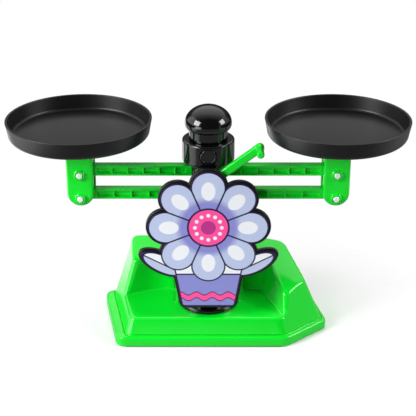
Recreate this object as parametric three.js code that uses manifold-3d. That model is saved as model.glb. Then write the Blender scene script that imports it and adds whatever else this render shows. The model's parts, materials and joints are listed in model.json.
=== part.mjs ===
// Toy balance scale: two pans on a parallelogram of ribbed beams, carried by a column on a moulded base.
// Millimetres, +Z up. The origin is on the table, on the column's axis, and the beams run along X.

import * as THREE from "three";
import { mergeVertices, toCreasedNormals } from "three/addons/utils/BufferGeometryUtils.js";
import Module from "manifold-3d";

const wasm = await Module();
wasm.setup();

// Fits
const SEAT_GAP = 0.3; // between pieces that are pressed, screwed or stuck together
const RUNNING_GAP = 0.3; // between a pin and what turns on it
const SIDE_PLAY = 0.6; // on each side of a beam in its slot
const STOP_GAP = 0.4; // left between a beam and the slot's end at full tilt

// Pans
const PAN_RADIUS = 62.5;
const PAN_BASE_RADIUS = 60.5;
const PAN_HEIGHT = 15.2;
const PAN_WALL = 2.2;
const PAN_FLOOR = 2.2;
const PAN_FILLET = 2.4;
const PAN_RIM_Z = 203;
const PAN_STUB_RADIUS = 7;
const PAN_STUB_LENGTH = 8;

// Posts under the pans
const POST_SPACING = 221.2; // between the two posts' pins, along the beams
const POST_WIDTH = 23;
const POST_DEPTH = 27;
const POST_CHEEK = 6;
const POST_WEB = 3;
const POST_EDGE = 1.2;
const POST_TAIL = 7.6; // from the lower pin down to the rounded end
const POST_SLOT_ROOM = 9; // above the upper pin
const RING_RADIUS = 4.6;
const RING_HEIGHT = 2.4;

// Pins at the beams' ends
const PIN_RADIUS = 2.6;
const PIN_PROUD = 0.8; // past the ring at the front
const PIN_EDGE = 0.5;
const PIN_HEAD_RADIUS = 4.6;
const PIN_HEAD_HEIGHT = 1.6;

// Beams
const UPPER_PIN_Z = 156;
const BEAM_SPACING = 22;
const FULCRUM_RISE = 2; // the middle pivots sit above the line of the end pivots
const BEAM_HEIGHT = 9.5;
const BEAM_DEPTH = 8;
const BEAM_FLANGE = 1.6;
const BEAM_WEB = 1.8;
const BEAM_RIB = 1.4;
const UPPER_FIRST_RIB = 18.7;
const UPPER_SECOND_RIB = 28.6;
const UPPER_RIB_PITCH = 13.75;
const LOWER_FIRST_RIB = 21.1;
const LOWER_RIB_PITCH = 15.3;
const END_HUB_RADIUS = 5;
const FULCRUM_HUB_RADIUS = 5.5;
const FULCRUM_PIN_RADIUS = 2.5;
const FULCRUM_PIN_SETBACK = 1; // of its ends inside the column
const TILT_DEG = 7;

// Column and its cap
const FOOT_RADIUS = 27.5;
const FOOT_HEIGHT = 4;
const FOOT_EDGE = 1;
const COLUMN_RADIUS = 15.5;
const SHOULDER_RADIUS = 22.6;
const SHOULDER_RISE = 9.4; // from the beams' upper end pins to the shoulder
const SHOULDER_CONE = 4.4;
const SHOULDER_HEIGHT = 19.6;
const SHOULDER_EDGE = 1.2;
const NECK_RADIUS = 16.7;
const NECK_HEIGHT = 8.4;
const DOME_RADIUS = 20.2;
const DOME_HEIGHT = 15.4;
const DOME_SKIRT = 5.5;
const CAP_STUB_RADIUS = 6;
const CAP_STUB_LENGTH = 10;
const PLUG_RADIUS = 6.9;
const PLUG_Z = 176;
const PLUG_DEPTH = 4;
const PLUG_PROUD = 0.5;

// Lever and brake cam
const LEVER_ANGLE_DEG = 37.6;
const LEVER_LENGTH = 57.8;
const LEVER_OFFSET = 3.9; // of the bar's middle line over the shaft
const LEVER_WIDTH = 7.4;
const LEVER_THICKNESS = 5.4;
const LEVER_STANDOFF = 4; // from the column to the bar
const LEVER_HUB_RADIUS = 5;
const LEVER_EDGE = 0.8;
const LEVER_FACE = 1.5; // of the bar left in front of the shaft
const PEG_RADIUS = 3.2;
const PEG_FRONT = 15; // past the bar's front face
const PEG_BACK = 1.5; // past the bar's back face
const PEG_EDGE = 1;
const SHAFT_RADIUS = 2;
const SHAFT_SEAT = 6; // in the column behind the slot
const CAM_ROOM = 1; // from the cam's longer radius to a level beam
const CAM_THROW = 0.7;

// Plaque
const PLAQUE_BACK_Y = -27;
const BACKING_THICKNESS = 4.6;
const CARD_THICKNESS = 0.8;
const CARD_BORDER = 2;
const FLOWER_Z = 115;
const PETAL_COUNT = 8;
const PETAL_REACH = 37; // from the flower's middle to a petal's middle
const PETAL_RADIUS = 17;
const POT_TOP_Z = 82;
const POT_BOTTOM_Z = 36;
const POT_TOP_WIDTH = 66;
const POT_BOTTOM_WIDTH = 50;
const LEAF_X = 40;
const LEAF_Z = 80;
const LEAF_LENGTH = 46;
const LEAF_WIDTH = 21;
const LEAF_LIFT_DEG = 28;
const POT_CORNER = 6;
const PLAQUE_BOSS_RADIUS = 7;
const PLAQUE_PEG_RADIUS = 3.5;
const PLAQUE_PEG_LENGTH = 9;
const PLAQUE_PEGS_Z = [60, 104];

// Base
const FOOT_PROUD = 0.8; // the pads lift the base by this much
const FLANGE_TOP_Z = 10;
const FRONT_LEDGE = 3.5; // the flange past the front and back walls
const RIGHT_LEDGE = 3.6;
const LEFT_LEDGE = 8.7;
const FLANGE_EDGE = 2.4;
const FRONT_CORNER = 9;
const BACK_CORNER = 14; // of the flange
const WALL_BACK_CORNER = 6;
const BASE_FRONT_Y = -40;
const BASE_BACK_Y = 50.7;
const FRONT_LEFT_X = -81.6;
const FRONT_RIGHT_X = 69.8;
const CHAMFER_END_X = 108;
const CHAMFER_END_Y = -6.5;
const BACK_RIGHT_X = 95.1;
const BACK_LEFT_X = -99.1;
const FRONT_DRAFT_DEG = 11;
const CHAMFER_DRAFT_DEG = 17.5;
const RIGHT_DRAFT_DEG = 22;
const LEFT_DRAFT_DEG = 16.7;
const BACK_DRAFT_DEG = 1;
const TOP_SLOPE_DEG = 21.7;
const TOP_Z_AT_AXIS = 52.2;
const RIGHT_SLOPE_DEG = 17.4; // of the right block's top, down to the chamfer
const CHAMFER_TOP_Z = 48.7;

// Recess in the base
const RECESS_FLOOR_Z = 26;
const RECESS_CORNER = 5;
const RECESS_BACK_Y = 22;
const RECESS_RIGHT_X = 48.6;
const RECESS_LEFT_X = -47.7;
const RECESS_RIGHT_LEAN_DEG = 20.2;
const RECESS_LEFT_TURN_DEG = 24;
const RECESS_RIGHT_DRAFT_DEG = 9.2;
const RECESS_BACK_DRAFT_DEG = 2;
const RECESS_LEFT_DRAFT_DEG = 2;
const NICHE_SIDE_ROOM = 3.5; // beside the column's foot
const NICHE_BACK_ROOM = 5.5;
const NICHE_CORNER = 6;
const NICHE_DRAFT_DEG = 3;

// Underside
const COVER_INSET = 7;
const COVER_THICKNESS = 2.6;
const PAD_RADIUS = 6;
const PAD_POCKET = 1.2;
const PAD_INSET = 18;
const SCREW_RADIUS = 1.5;
const SCREW_HEAD_RADIUS = 3.2;
const SCREW_HEAD_HEIGHT = 1.2;
const COVER_SCREW_LENGTH = 9;
const COVER_SCREW_INSET = 34;
const COLUMN_SCREW_COUNT = 3;
const COLUMN_SCREW_CIRCLE = 9;
const COLUMN_SCREW_LENGTH = 18;
const COLUMN_SCREW_WALL = 6; // of the base between a screw's head and the column

// Facets
const ROUND_SIDES = 36;
const PAN_SIDES = 48;
const PIN_SIDES = 14;
const ARC_STEPS = 4;
const EDGE_STEPS = 2;
const MERGE_DISTANCE = 1e-4;
const CREASE = THREE.MathUtils.degToRad(30);
const BEYOND = 60; // how far a cutting solid runs past what it cuts

// Worked out from the sizes above
const rad = THREE.MathUtils.degToRad;
const LOWER_PIN_Z = UPPER_PIN_Z - BEAM_SPACING;
const UPPER_FULCRUM_Z = UPPER_PIN_Z + FULCRUM_RISE;
const LOWER_FULCRUM_Z = LOWER_PIN_Z + FULCRUM_RISE;
const POST_X = POST_SPACING / 2;
const PAN_BOTTOM_Z = PAN_RIM_Z - PAN_HEIGHT;
const SLOT_WIDTH = BEAM_DEPTH + 2 * SIDE_PLAY;
const COLUMN_BOTTOM_Z = RECESS_FLOOR_Z + SEAT_GAP;
const SHOULDER_BOTTOM_Z = UPPER_PIN_Z + SHOULDER_RISE;
const SHOULDER_TOP_Z = SHOULDER_BOTTOM_Z + SHOULDER_HEIGHT;
const TILT_SWEEP = COLUMN_RADIUS * Math.sin(rad(TILT_DEG)) + STOP_GAP;
const HALF_BEAM = BEAM_HEIGHT / 2;
const HUB_TOP = Math.max(FULCRUM_HUB_RADIUS, HALF_BEAM - FULCRUM_RISE + TILT_SWEEP);
const COLUMN_SLOT_TOP_Z = UPPER_FULCRUM_Z + HUB_TOP + STOP_GAP;
const COLUMN_SLOT_BOTTOM_Z = LOWER_PIN_Z + FULCRUM_RISE - (HALF_BEAM + FULCRUM_RISE) - TILT_SWEEP;
const LEVER_Z = (UPPER_PIN_Z - HALF_BEAM + LOWER_FULCRUM_Z + FULCRUM_HUB_RADIUS) / 2;
const CAM_LONG_RADIUS = UPPER_PIN_Z - HALF_BEAM - LEVER_Z - CAM_ROOM;
const CAM_SHORT_RADIUS = CAM_LONG_RADIUS - CAM_THROW;
const LEVER_BACK_Y = -COLUMN_RADIUS - LEVER_STANDOFF;
const LEVER_FRONT_Y = LEVER_BACK_Y - LEVER_THICKNESS;
const COVER_TOP_Z = FOOT_PROUD + COVER_THICKNESS;
const COVER_RECESS_Z = COVER_TOP_Z + SEAT_GAP;

// Looks
const GREEN = new THREE.MeshStandardMaterial({ color: 0x1fdf35, roughness: 0.25, metalness: 0 });
const GLOSS_BLACK = new THREE.MeshStandardMaterial({ color: 0x0b0b0c, roughness: 0.12, metalness: 0 });
const SATIN_BLACK = new THREE.MeshStandardMaterial({ color: 0x1e1e1f, roughness: 0.4, metalness: 0 });
const STEEL = new THREE.MeshStandardMaterial({ color: 0xdfe1e4, roughness: 0.3, metalness: 1 });
const PRINT = new THREE.MeshStandardMaterial({ color: 0xc8d2ee, roughness: 0.4, metalness: 0 });
const RUBBER = new THREE.MeshStandardMaterial({ color: 0x26272a, roughness: 0.8, metalness: 0 });

const scale = new THREE.Group();

// A closed geometry as a solid that can be joined and cut.
function solid(geometry) {
  const loose = geometry.index ? geometry.toNonIndexed() : geometry;
  const bare = new THREE.BufferGeometry();
  bare.setAttribute("position", loose.getAttribute("position"));
  const merged = mergeVertices(bare, MERGE_DISTANCE);
  const corners = merged.index.array;
  const triangles = [];
  for (let i = 0; i < corners.length; i += 3) {
    const [a, b, c] = [corners[i], corners[i + 1], corners[i + 2]];
    if (a !== b && b !== c && c !== a) triangles.push(a, b, c);
  }
  return new wasm.Manifold(
    new wasm.Mesh({
      numProp: 3,
      vertProperties: merged.getAttribute("position").array,
      triVerts: new Uint32Array(triangles),
    }),
  );
}

function joined(...geometries) {
  return geometries.map(solid).reduce((whole, next) => whole.add(next));
}

function cut(body, ...tools) {
  return tools.map(solid).reduce((rest, tool) => rest.subtract(tool), body);
}

function geometryOf(body) {
  const mesh = body.getMesh();
  const geometry = new THREE.BufferGeometry();
  const places = new Float32Array(mesh.vertProperties);
  geometry.setAttribute("position", new THREE.BufferAttribute(places, mesh.numProp));
  geometry.setIndex(new THREE.BufferAttribute(new Uint32Array(mesh.triVerts), 1));
  return toCreasedNormals(geometry, CREASE);
}

function addPiece(name, body, material, parent = scale) {
  const mesh = new THREE.Mesh(geometryOf(body), material);
  mesh.name = name;
  parent.add(mesh);
}

function box(xLow, xHigh, yLow, yHigh, zLow, zHigh) {
  const geometry = new THREE.BoxGeometry(xHigh - xLow, yHigh - yLow, zHigh - zLow);
  return geometry.translate((xLow + xHigh) / 2, (yLow + yHigh) / 2, (zLow + zHigh) / 2);
}

function rodAlongY(radius, yLow, yHigh, x, z, sides = PIN_SIDES) {
  const rod = new THREE.CylinderGeometry(radius, radius, yHigh - yLow, sides);
  return rod.translate(x, (yLow + yHigh) / 2, z);
}

function rodAlongZ(radius, zLow, zHigh, x, y, sides = PIN_SIDES) {
  const rod = new THREE.CylinderGeometry(radius, radius, zHigh - zLow, sides);
  return rod.rotateX(Math.PI / 2).translate(x, y, (zLow + zHigh) / 2);
}

// A profile of [radius, height] points turned about the Z axis.
function turned(profile, sides = ROUND_SIDES) {
  const points = profile.map(([radius, height]) => new THREE.Vector2(radius, height));
  return new THREE.LatheGeometry(points, sides).rotateX(Math.PI / 2);
}

// Points on an arc, as [radius, height] pairs, for a turned profile.
function profileArc(radius, height, reach, rise, fromDeg, toDeg, steps = ARC_STEPS) {
  return Array.from({ length: steps + 1 }, (_, i) => {
    const angle = rad(fromDeg + ((toDeg - fromDeg) * i) / steps);
    return [radius + reach * Math.cos(angle), height + rise * Math.sin(angle)];
  });
}

// A shape drawn in X and Z, as a plate between two Y planes, with its edges rounded off.
function plate(shape, yLow, yHigh, edge = 0) {
  const geometry = new THREE.ExtrudeGeometry(shape, {
    depth: yHigh - yLow - 2 * edge,
    bevelEnabled: edge > 0,
    bevelThickness: edge,
    bevelSize: edge,
    bevelOffset: -edge,
    bevelSegments: EDGE_STEPS,
    curveSegments: 2 * ARC_STEPS,
  });
  return geometry.rotateX(Math.PI / 2).translate(0, yHigh - edge, 0);
}

// A shape drawn in Y and Z, run along X.
function prismAlongX(shape, xLow, xHigh) {
  const turn = new THREE.Matrix4().makeBasis(
    new THREE.Vector3(0, 1, 0),
    new THREE.Vector3(0, 0, 1),
    new THREE.Vector3(1, 0, 0),
  );
  const geometry = new THREE.ExtrudeGeometry(shape, { depth: xHigh - xLow, bevelEnabled: false });
  return geometry.applyMatrix4(turn).translate(xLow, 0, 0);
}

// Moves each side of an outline inwards by its own amount; side i runs from corner i to the next.
function insetOutline(corners, amounts) {
  const sides = corners.map((corner, i) => {
    const next = corners[(i + 1) % corners.length];
    const along = next.clone().sub(corner).normalize();
    const inward = new THREE.Vector2(-along.y, along.x);
    return { start: corner.clone().addScaledVector(inward, amounts[i]), along };
  });
  return sides.map((side, i) => {
    const before = sides[(i + sides.length - 1) % sides.length];
    const apart = side.start.clone().sub(before.start);
    const distance = apart.cross(side.along) / before.along.cross(side.along);
    return before.start.clone().addScaledVector(before.along, distance);
  });
}

function roundCorners(corners, radii) {
  return corners.flatMap((corner, i) => {
    const radius = radii[i];
    const before = corners[(i + corners.length - 1) % corners.length].clone().sub(corner).normalize();
    const after = corners[(i + 1) % corners.length].clone().sub(corner).normalize();
    const half = Math.acos(before.dot(after)) / 2;
    const reach = radius / Math.tan(half);
    const middle = before.clone().add(after).setLength(radius / Math.sin(half)).add(corner);
    const start = before.multiplyScalar(reach).add(corner);
    const end = after.multiplyScalar(reach).add(corner);
    const fromMiddle = start.clone().sub(middle);
    const toEnd = end.sub(middle);
    const sweep = Math.atan2(fromMiddle.cross(toEnd), fromMiddle.dot(toEnd));
    return Array.from({ length: ARC_STEPS + 1 }, (_, k) =>
      start.clone().rotateAround(middle, (sweep * k) / ARC_STEPS),
    );
  });
}

// A closed skin through outlines of equal point count, each at its own height.
function loft(sections) {
  const count = sections[0].outline.length;
  const positions = sections.flatMap(({ outline, z }) => outline.flatMap(({ x, y }) => [x, y, z]));
  const triangles = [];
  for (let level = 0; level + 1 < sections.length; level++) {
    for (let i = 0; i < count; i++) {
      const here = level * count + i;
      const beside = level * count + ((i + 1) % count);
      triangles.push(here, beside, beside + count, here, beside + count, here + count);
    }
  }
  const last = (sections.length - 1) * count;
  THREE.ShapeUtils.triangulateShape(sections[0].outline, []).forEach(([a, b, c]) => triangles.push(c, b, a));
  THREE.ShapeUtils.triangulateShape(sections.at(-1).outline, []).forEach(([a, b, c]) => {
    triangles.push(last + a, last + b, last + c);
  });
  const geometry = new THREE.BufferGeometry();
  geometry.setAttribute("position", new THREE.Float32BufferAttribute(positions, 3));
  return geometry.setIndex(triangles);
}

// Base: a flange, a drafted wall cut off by a sloped top, and the recess that the column stands in
const FRONT_RADII = { radius: FRONT_CORNER, wallRadius: FRONT_CORNER };
const BACK_RADII = { radius: BACK_CORNER, wallRadius: WALL_BACK_CORNER };
const BASE_SIDES = [
  { corner: "front_left", x: FRONT_LEFT_X, y: BASE_FRONT_Y, ...FRONT_RADII },
  { corner: "front_right", x: FRONT_RIGHT_X, y: BASE_FRONT_Y, ...FRONT_RADII },
  { corner: "chamfer_end", x: CHAMFER_END_X, y: CHAMFER_END_Y, ...FRONT_RADII },
  { corner: "back_right", x: BACK_RIGHT_X, y: BASE_BACK_Y, ...BACK_RADII },
  { corner: "back_left", x: BACK_LEFT_X, y: BASE_BACK_Y, ...BACK_RADII },
];
const BASE_CORNERS = BASE_SIDES.map(({ x, y }) => new THREE.Vector2(x, y));
const BASE_RADII = BASE_SIDES.map(({ radius }) => radius);
const WALL_RADII = BASE_SIDES.map(({ wallRadius }) => wallRadius);
const BASE_LEDGES = [FRONT_LEDGE, RIGHT_LEDGE, RIGHT_LEDGE, FRONT_LEDGE, LEFT_LEDGE];
const BASE_DRAFTS_DEG = [FRONT_DRAFT_DEG, CHAMFER_DRAFT_DEG, RIGHT_DRAFT_DEG, BACK_DRAFT_DEG, LEFT_DRAFT_DEG];

function baseOutline(inset) {
  return insetOutline(BASE_CORNERS, BASE_CORNERS.map(() => inset));
}

function topZ(y) {
  return TOP_Z_AT_AXIS + y * Math.tan(rad(TOP_SLOPE_DEG));
}

function baseFlange() {
  const shoulder = Array.from({ length: ARC_STEPS + 1 }, (_, i) => {
    const angle = ((Math.PI / 2) * i) / ARC_STEPS;
    return {
      outline: roundCorners(baseOutline(FLANGE_EDGE * (1 - Math.cos(angle))), BASE_RADII),
      z: FLANGE_TOP_Z - FLANGE_EDGE * (1 - Math.sin(angle)),
    };
  });
  return loft([{ outline: roundCorners(baseOutline(0), BASE_RADII), z: FOOT_PROUD }, ...shoulder]);
}

function baseWall() {
  const height = topZ(BASE_BACK_Y) - FLANGE_TOP_Z;
  const foot = insetOutline(BASE_CORNERS, BASE_LEDGES);
  const head = insetOutline(foot, BASE_DRAFTS_DEG.map((draft) => height * Math.tan(rad(draft))));
  return loft([
    { outline: roundCorners(foot, WALL_RADII), z: FOOT_PROUD },
    { outline: roundCorners(foot, WALL_RADII), z: FLANGE_TOP_Z },
    { outline: roundCorners(head, WALL_RADII), z: FLANGE_TOP_Z + height },
  ]);
}

// All that is above a slope which rises along Y from a height at the origin
function aboveSlope(height, slopeDeg) {
  const reach = BASE_BACK_Y - BASE_FRONT_Y + BEYOND;
  const rise = reach * Math.tan(rad(slopeDeg));
  const shape = new THREE.Shape([
    new THREE.Vector2(-reach, height - rise),
    new THREE.Vector2(reach, height + rise),
    new THREE.Vector2(reach, height + rise + BEYOND),
    new THREE.Vector2(-reach, height + rise + BEYOND),
  ]);
  return prismAlongX(shape, BACK_LEFT_X - BEYOND, CHAMFER_END_X + BEYOND);
}

function aboveRightSlope() {
  const turn = Math.atan2(CHAMFER_END_Y - BASE_FRONT_Y, CHAMFER_END_X - FRONT_RIGHT_X);
  const inward = RIGHT_LEDGE + (CHAMFER_TOP_Z - FLANGE_TOP_Z) * Math.tan(rad(CHAMFER_DRAFT_DEG));
  return aboveSlope(CHAMFER_TOP_Z, RIGHT_SLOPE_DEG)
    .translate(0, inward, 0)
    .rotateZ(turn)
    .translate(CHAMFER_END_X, CHAMFER_END_Y, 0);
}

function baseRecess() {
  const front = BASE_FRONT_Y - BEYOND;
  const left = BACK_LEFT_X - BEYOND;
  const height = topZ(BASE_BACK_Y) - RECESS_FLOOR_Z;
  const floor = [
    new THREE.Vector2(RECESS_RIGHT_X + (RECESS_BACK_Y - front) * Math.tan(rad(RECESS_RIGHT_LEAN_DEG)), front),
    new THREE.Vector2(RECESS_RIGHT_X, RECESS_BACK_Y),
    new THREE.Vector2(RECESS_LEFT_X, RECESS_BACK_Y),
    new THREE.Vector2(left, RECESS_BACK_Y - (RECESS_LEFT_X - left) * Math.tan(rad(RECESS_LEFT_TURN_DEG))),
    new THREE.Vector2(left, front),
  ];
  const drafts = [RECESS_RIGHT_DRAFT_DEG, RECESS_BACK_DRAFT_DEG, RECESS_LEFT_DRAFT_DEG, 0, 0];
  const radii = floor.map(() => RECESS_CORNER);
  const mouth = insetOutline(floor, drafts.map((draft) => -height * Math.tan(rad(draft))));
  return loft([
    { outline: roundCorners(floor, radii), z: RECESS_FLOOR_Z },
    { outline: roundCorners(mouth, radii), z: RECESS_FLOOR_Z + height },
  ]);
}

function columnNiche() {
  const height = topZ(BASE_BACK_Y) - RECESS_FLOOR_Z;
  const half = FOOT_RADIUS + NICHE_SIDE_ROOM;
  const back = FOOT_RADIUS + NICHE_BACK_ROOM;
  const floor = [
    new THREE.Vector2(-half, 0),
    new THREE.Vector2(half, 0),
    new THREE.Vector2(half, back),
    new THREE.Vector2(-half, back),
  ];
  const spread = -height * Math.tan(rad(NICHE_DRAFT_DEG));
  const radii = floor.map(() => NICHE_CORNER);
  const mouth = insetOutline(floor, [0, spread, spread, spread]);
  return loft([
    { outline: roundCorners(floor, radii), z: RECESS_FLOOR_Z },
    { outline: roundCorners(mouth, radii), z: RECESS_FLOOR_Z + height },
  ]);
}

// Places on the underside, near the base's widest corners
function cornerPlaces(inset) {
  return baseOutline(inset)
    .map((at, i) => ({ name: BASE_SIDES[i].corner, at }))
    .filter(({ name }) => name !== "chamfer_end");
}

const columnScrewPlaces = Array.from({ length: COLUMN_SCREW_COUNT }, (_, i) => {
  const angle = Math.PI / 2 + (2 * Math.PI * i) / COLUMN_SCREW_COUNT;
  return new THREE.Vector2(COLUMN_SCREW_CIRCLE * Math.cos(angle), COLUMN_SCREW_CIRCLE * Math.sin(angle));
});
const COLUMN_SCREW_SEAT_Z = RECESS_FLOOR_Z - COLUMN_SCREW_WALL;

function coverRecess(inset, zLow, zHigh) {
  const outline = roundCorners(baseOutline(inset), BASE_RADII);
  return loft([{ outline, z: zLow }, { outline, z: zHigh }]);
}

function addBase() {
  const pilot = SCREW_RADIUS + SEAT_GAP;
  const pocket = SCREW_HEAD_RADIUS + SEAT_GAP;
  const block = cut(
    joined(baseFlange(), baseWall()),
    aboveSlope(TOP_Z_AT_AXIS, TOP_SLOPE_DEG),
    aboveRightSlope(),
    baseRecess(),
    columnNiche(),
  );
  const body = cut(
    block,
    coverRecess(COVER_INSET - SEAT_GAP, FOOT_PROUD - BEYOND, COVER_RECESS_Z),
    ...columnScrewPlaces.map(({ x, y }) => rodAlongZ(pocket, 0, COLUMN_SCREW_SEAT_Z, x, y)),
    ...columnScrewPlaces.map(({ x, y }) => rodAlongZ(pilot, 0, RECESS_FLOOR_Z + BEYOND, x, y)),
    ...cornerPlaces(COVER_SCREW_INSET).map(({ at }) =>
      rodAlongZ(pilot, 0, FOOT_PROUD + COVER_SCREW_LENGTH + SEAT_GAP, at.x, at.y),
    ),
  );
  addPiece("base_body", body, GREEN);

  const cover = cut(
    solid(coverRecess(COVER_INSET, FOOT_PROUD, COVER_TOP_Z)),
    ...cornerPlaces(PAD_INSET).map(({ at }) =>
      rodAlongZ(PAD_RADIUS + SEAT_GAP, 0, FOOT_PROUD + PAD_POCKET, at.x, at.y),
    ),
    ...cornerPlaces(COVER_SCREW_INSET).flatMap(({ at }) => [
      rodAlongZ(pocket, 0, FOOT_PROUD + SCREW_HEAD_HEIGHT + SEAT_GAP, at.x, at.y),
      rodAlongZ(pilot, 0, COVER_TOP_Z + BEYOND, at.x, at.y),
    ]),
  );
  addPiece("base_cover", cover, GREEN);

  for (const { name, at } of cornerPlaces(PAD_INSET)) {
    const pad = rodAlongZ(PAD_RADIUS, 0, FOOT_PROUD + PAD_POCKET - SEAT_GAP, at.x, at.y);
    addPiece(`foot_pad_${name}`, solid(pad), RUBBER);
  }
  for (const { name, at } of cornerPlaces(COVER_SCREW_INSET)) {
    addPiece(`cover_screw_${name}`, screw(FOOT_PROUD, COVER_SCREW_LENGTH, at.x, at.y), STEEL);
  }
}

// A screw that points up, with its head's underside at the bottom
function screw(zLow, length, x, y) {
  return joined(
    rodAlongZ(SCREW_HEAD_RADIUS, zLow, zLow + SCREW_HEAD_HEIGHT, x, y),
    rodAlongZ(SCREW_RADIUS, zLow, zLow + length, x, y),
  );
}

// Column: a turned shaft with a foot and a shoulder, slotted for the beams
function columnProfile() {
  const footTop = COLUMN_BOTTOM_Z + FOOT_HEIGHT;
  const bore = CAP_STUB_RADIUS + SEAT_GAP;
  const boreBottom = SHOULDER_TOP_Z - CAP_STUB_LENGTH;
  return [
    [0, COLUMN_BOTTOM_Z],
    [FOOT_RADIUS, COLUMN_BOTTOM_Z],
    ...profileArc(FOOT_RADIUS - FOOT_EDGE, footTop - FOOT_EDGE, FOOT_EDGE, FOOT_EDGE, 0, 90, EDGE_STEPS),
    [COLUMN_RADIUS, footTop],
    [COLUMN_RADIUS, SHOULDER_BOTTOM_Z - SHOULDER_CONE],
    [SHOULDER_RADIUS, SHOULDER_BOTTOM_Z],
    ...profileArc(
      SHOULDER_RADIUS - SHOULDER_EDGE,
      SHOULDER_TOP_Z - SHOULDER_EDGE,
      SHOULDER_EDGE,
      SHOULDER_EDGE,
      0,
      90,
      EDGE_STEPS,
    ),
    [bore, SHOULDER_TOP_Z],
    [bore, boreBottom],
    [0, boreBottom],
  ];
}

function addColumn() {
  const plaqueBosses = PLAQUE_PEGS_Z.map((z) =>
    rodAlongY(PLAQUE_BOSS_RADIUS, PLAQUE_BACK_Y + SEAT_GAP, 0, 0, z),
  );
  const slotEnd = SHOULDER_RADIUS + BEYOND;
  const halfSlot = SLOT_WIDTH / 2;
  const fulcrumBore = FULCRUM_PIN_RADIUS + SEAT_GAP;
  const column = cut(
    joined(turned(columnProfile()), ...plaqueBosses),
    box(-slotEnd, slotEnd, -halfSlot, halfSlot, COLUMN_SLOT_BOTTOM_Z, COLUMN_SLOT_TOP_Z),
    rodAlongY(fulcrumBore, -BEYOND, BEYOND, 0, UPPER_FULCRUM_Z),
    rodAlongY(fulcrumBore, -BEYOND, BEYOND, 0, LOWER_FULCRUM_Z),
    rodAlongY(SHAFT_RADIUS + RUNNING_GAP, -BEYOND, halfSlot + SHAFT_SEAT + SEAT_GAP, 0, LEVER_Z),
    rodAlongY(PLUG_RADIUS + SEAT_GAP, -BEYOND, PLUG_DEPTH - SHOULDER_RADIUS, 0, PLUG_Z),
    ...PLAQUE_PEGS_Z.map((z) =>
      rodAlongY(PLAQUE_PEG_RADIUS + SEAT_GAP, -BEYOND, PLAQUE_BACK_Y + PLAQUE_PEG_LENGTH + SEAT_GAP, 0, z),
    ),
    ...columnScrewPlaces.map(({ x, y }) =>
      rodAlongZ(SCREW_RADIUS + SEAT_GAP, 0, COLUMN_SCREW_SEAT_Z + COLUMN_SCREW_LENGTH + SEAT_GAP, x, y),
    ),
  );
  addPiece("column", column, GLOSS_BLACK);

  columnScrewPlaces.forEach(({ x, y }, i) => {
    const head = COLUMN_SCREW_SEAT_Z - SEAT_GAP - SCREW_HEAD_HEIGHT;
    addPiece(`column_screw_${i + 1}`, screw(head, COLUMN_SCREW_LENGTH + SCREW_HEAD_HEIGHT, x, y), STEEL);
  });

  const plug = new THREE.Shape().absarc(0, PLUG_Z, PLUG_RADIUS, 0, 2 * Math.PI);
  const plugFront = -SHOULDER_RADIUS - PLUG_PROUD;
  const plugBack = PLUG_DEPTH - SHOULDER_RADIUS - SEAT_GAP;
  addPiece("shoulder_plug", solid(plate(plug, plugFront, plugBack, PLUG_PROUD)), GLOSS_BLACK);
}

function addColumnCap() {
  const neckBottom = SHOULDER_TOP_Z + SEAT_GAP;
  const neckTop = neckBottom + NECK_HEIGHT;
  const equator = neckTop + DOME_SKIRT;
  const stubBottom = neckBottom - CAP_STUB_LENGTH;
  const cap = turned([
    [0, stubBottom],
    [CAP_STUB_RADIUS, stubBottom],
    [CAP_STUB_RADIUS, neckBottom],
    [NECK_RADIUS, neckBottom],
    ...profileArc(NECK_RADIUS, equator, DOME_RADIUS - NECK_RADIUS, DOME_SKIRT, -90, 0),
    ...profileArc(0, equator, DOME_RADIUS, DOME_HEIGHT, 0, 90, 2 * ARC_STEPS).slice(1),
  ]);
  addPiece("column_cap", solid(cap), GLOSS_BLACK);
}

function addFulcrumPins() {
  const half = COLUMN_RADIUS - FULCRUM_PIN_SETBACK;
  const places = { upper: UPPER_FULCRUM_Z, lower: LOWER_FULCRUM_Z };
  for (const [name, z] of Object.entries(places)) {
    addPiece(`${name}_fulcrum_pin`, solid(rodAlongY(FULCRUM_PIN_RADIUS, -half, half, 0, z)), STEEL);
  }
}

// Beams: a ladder of ribs between two flanges, on a thin middle web
function ribPlaces(first, second, pitch) {
  const last = POST_X - POST_WIDTH / 2;
  const places = [first];
  for (let x = second; x <= last; x += pitch) places.push(x);
  return places;
}

function beamOutline(pinZ) {
  return new THREE.Shape()
    .absarc(POST_X, pinZ, HALF_BEAM, -Math.PI / 2, Math.PI / 2)
    .absarc(-POST_X, pinZ, HALF_BEAM, Math.PI / 2, 1.5 * Math.PI);
}

// The pockets between one pair of neighbouring ribs: on both arms, in front of the web and behind it.
function beamPockets(rib, nextRib, pinZ) {
  const opening = HALF_BEAM - BEAM_FLANGE;
  const near = rib + BEAM_RIB / 2;
  const far = nextRib - BEAM_RIB / 2;
  const arms = [[near, far], [-far, -near]];
  const faces = [[BEAM_WEB / 2, BEYOND], [-BEYOND, -BEAM_WEB / 2]];
  return arms.flatMap((arm) => faces.map((face) => box(...arm, ...face, pinZ - opening, pinZ + opening)));
}

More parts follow.
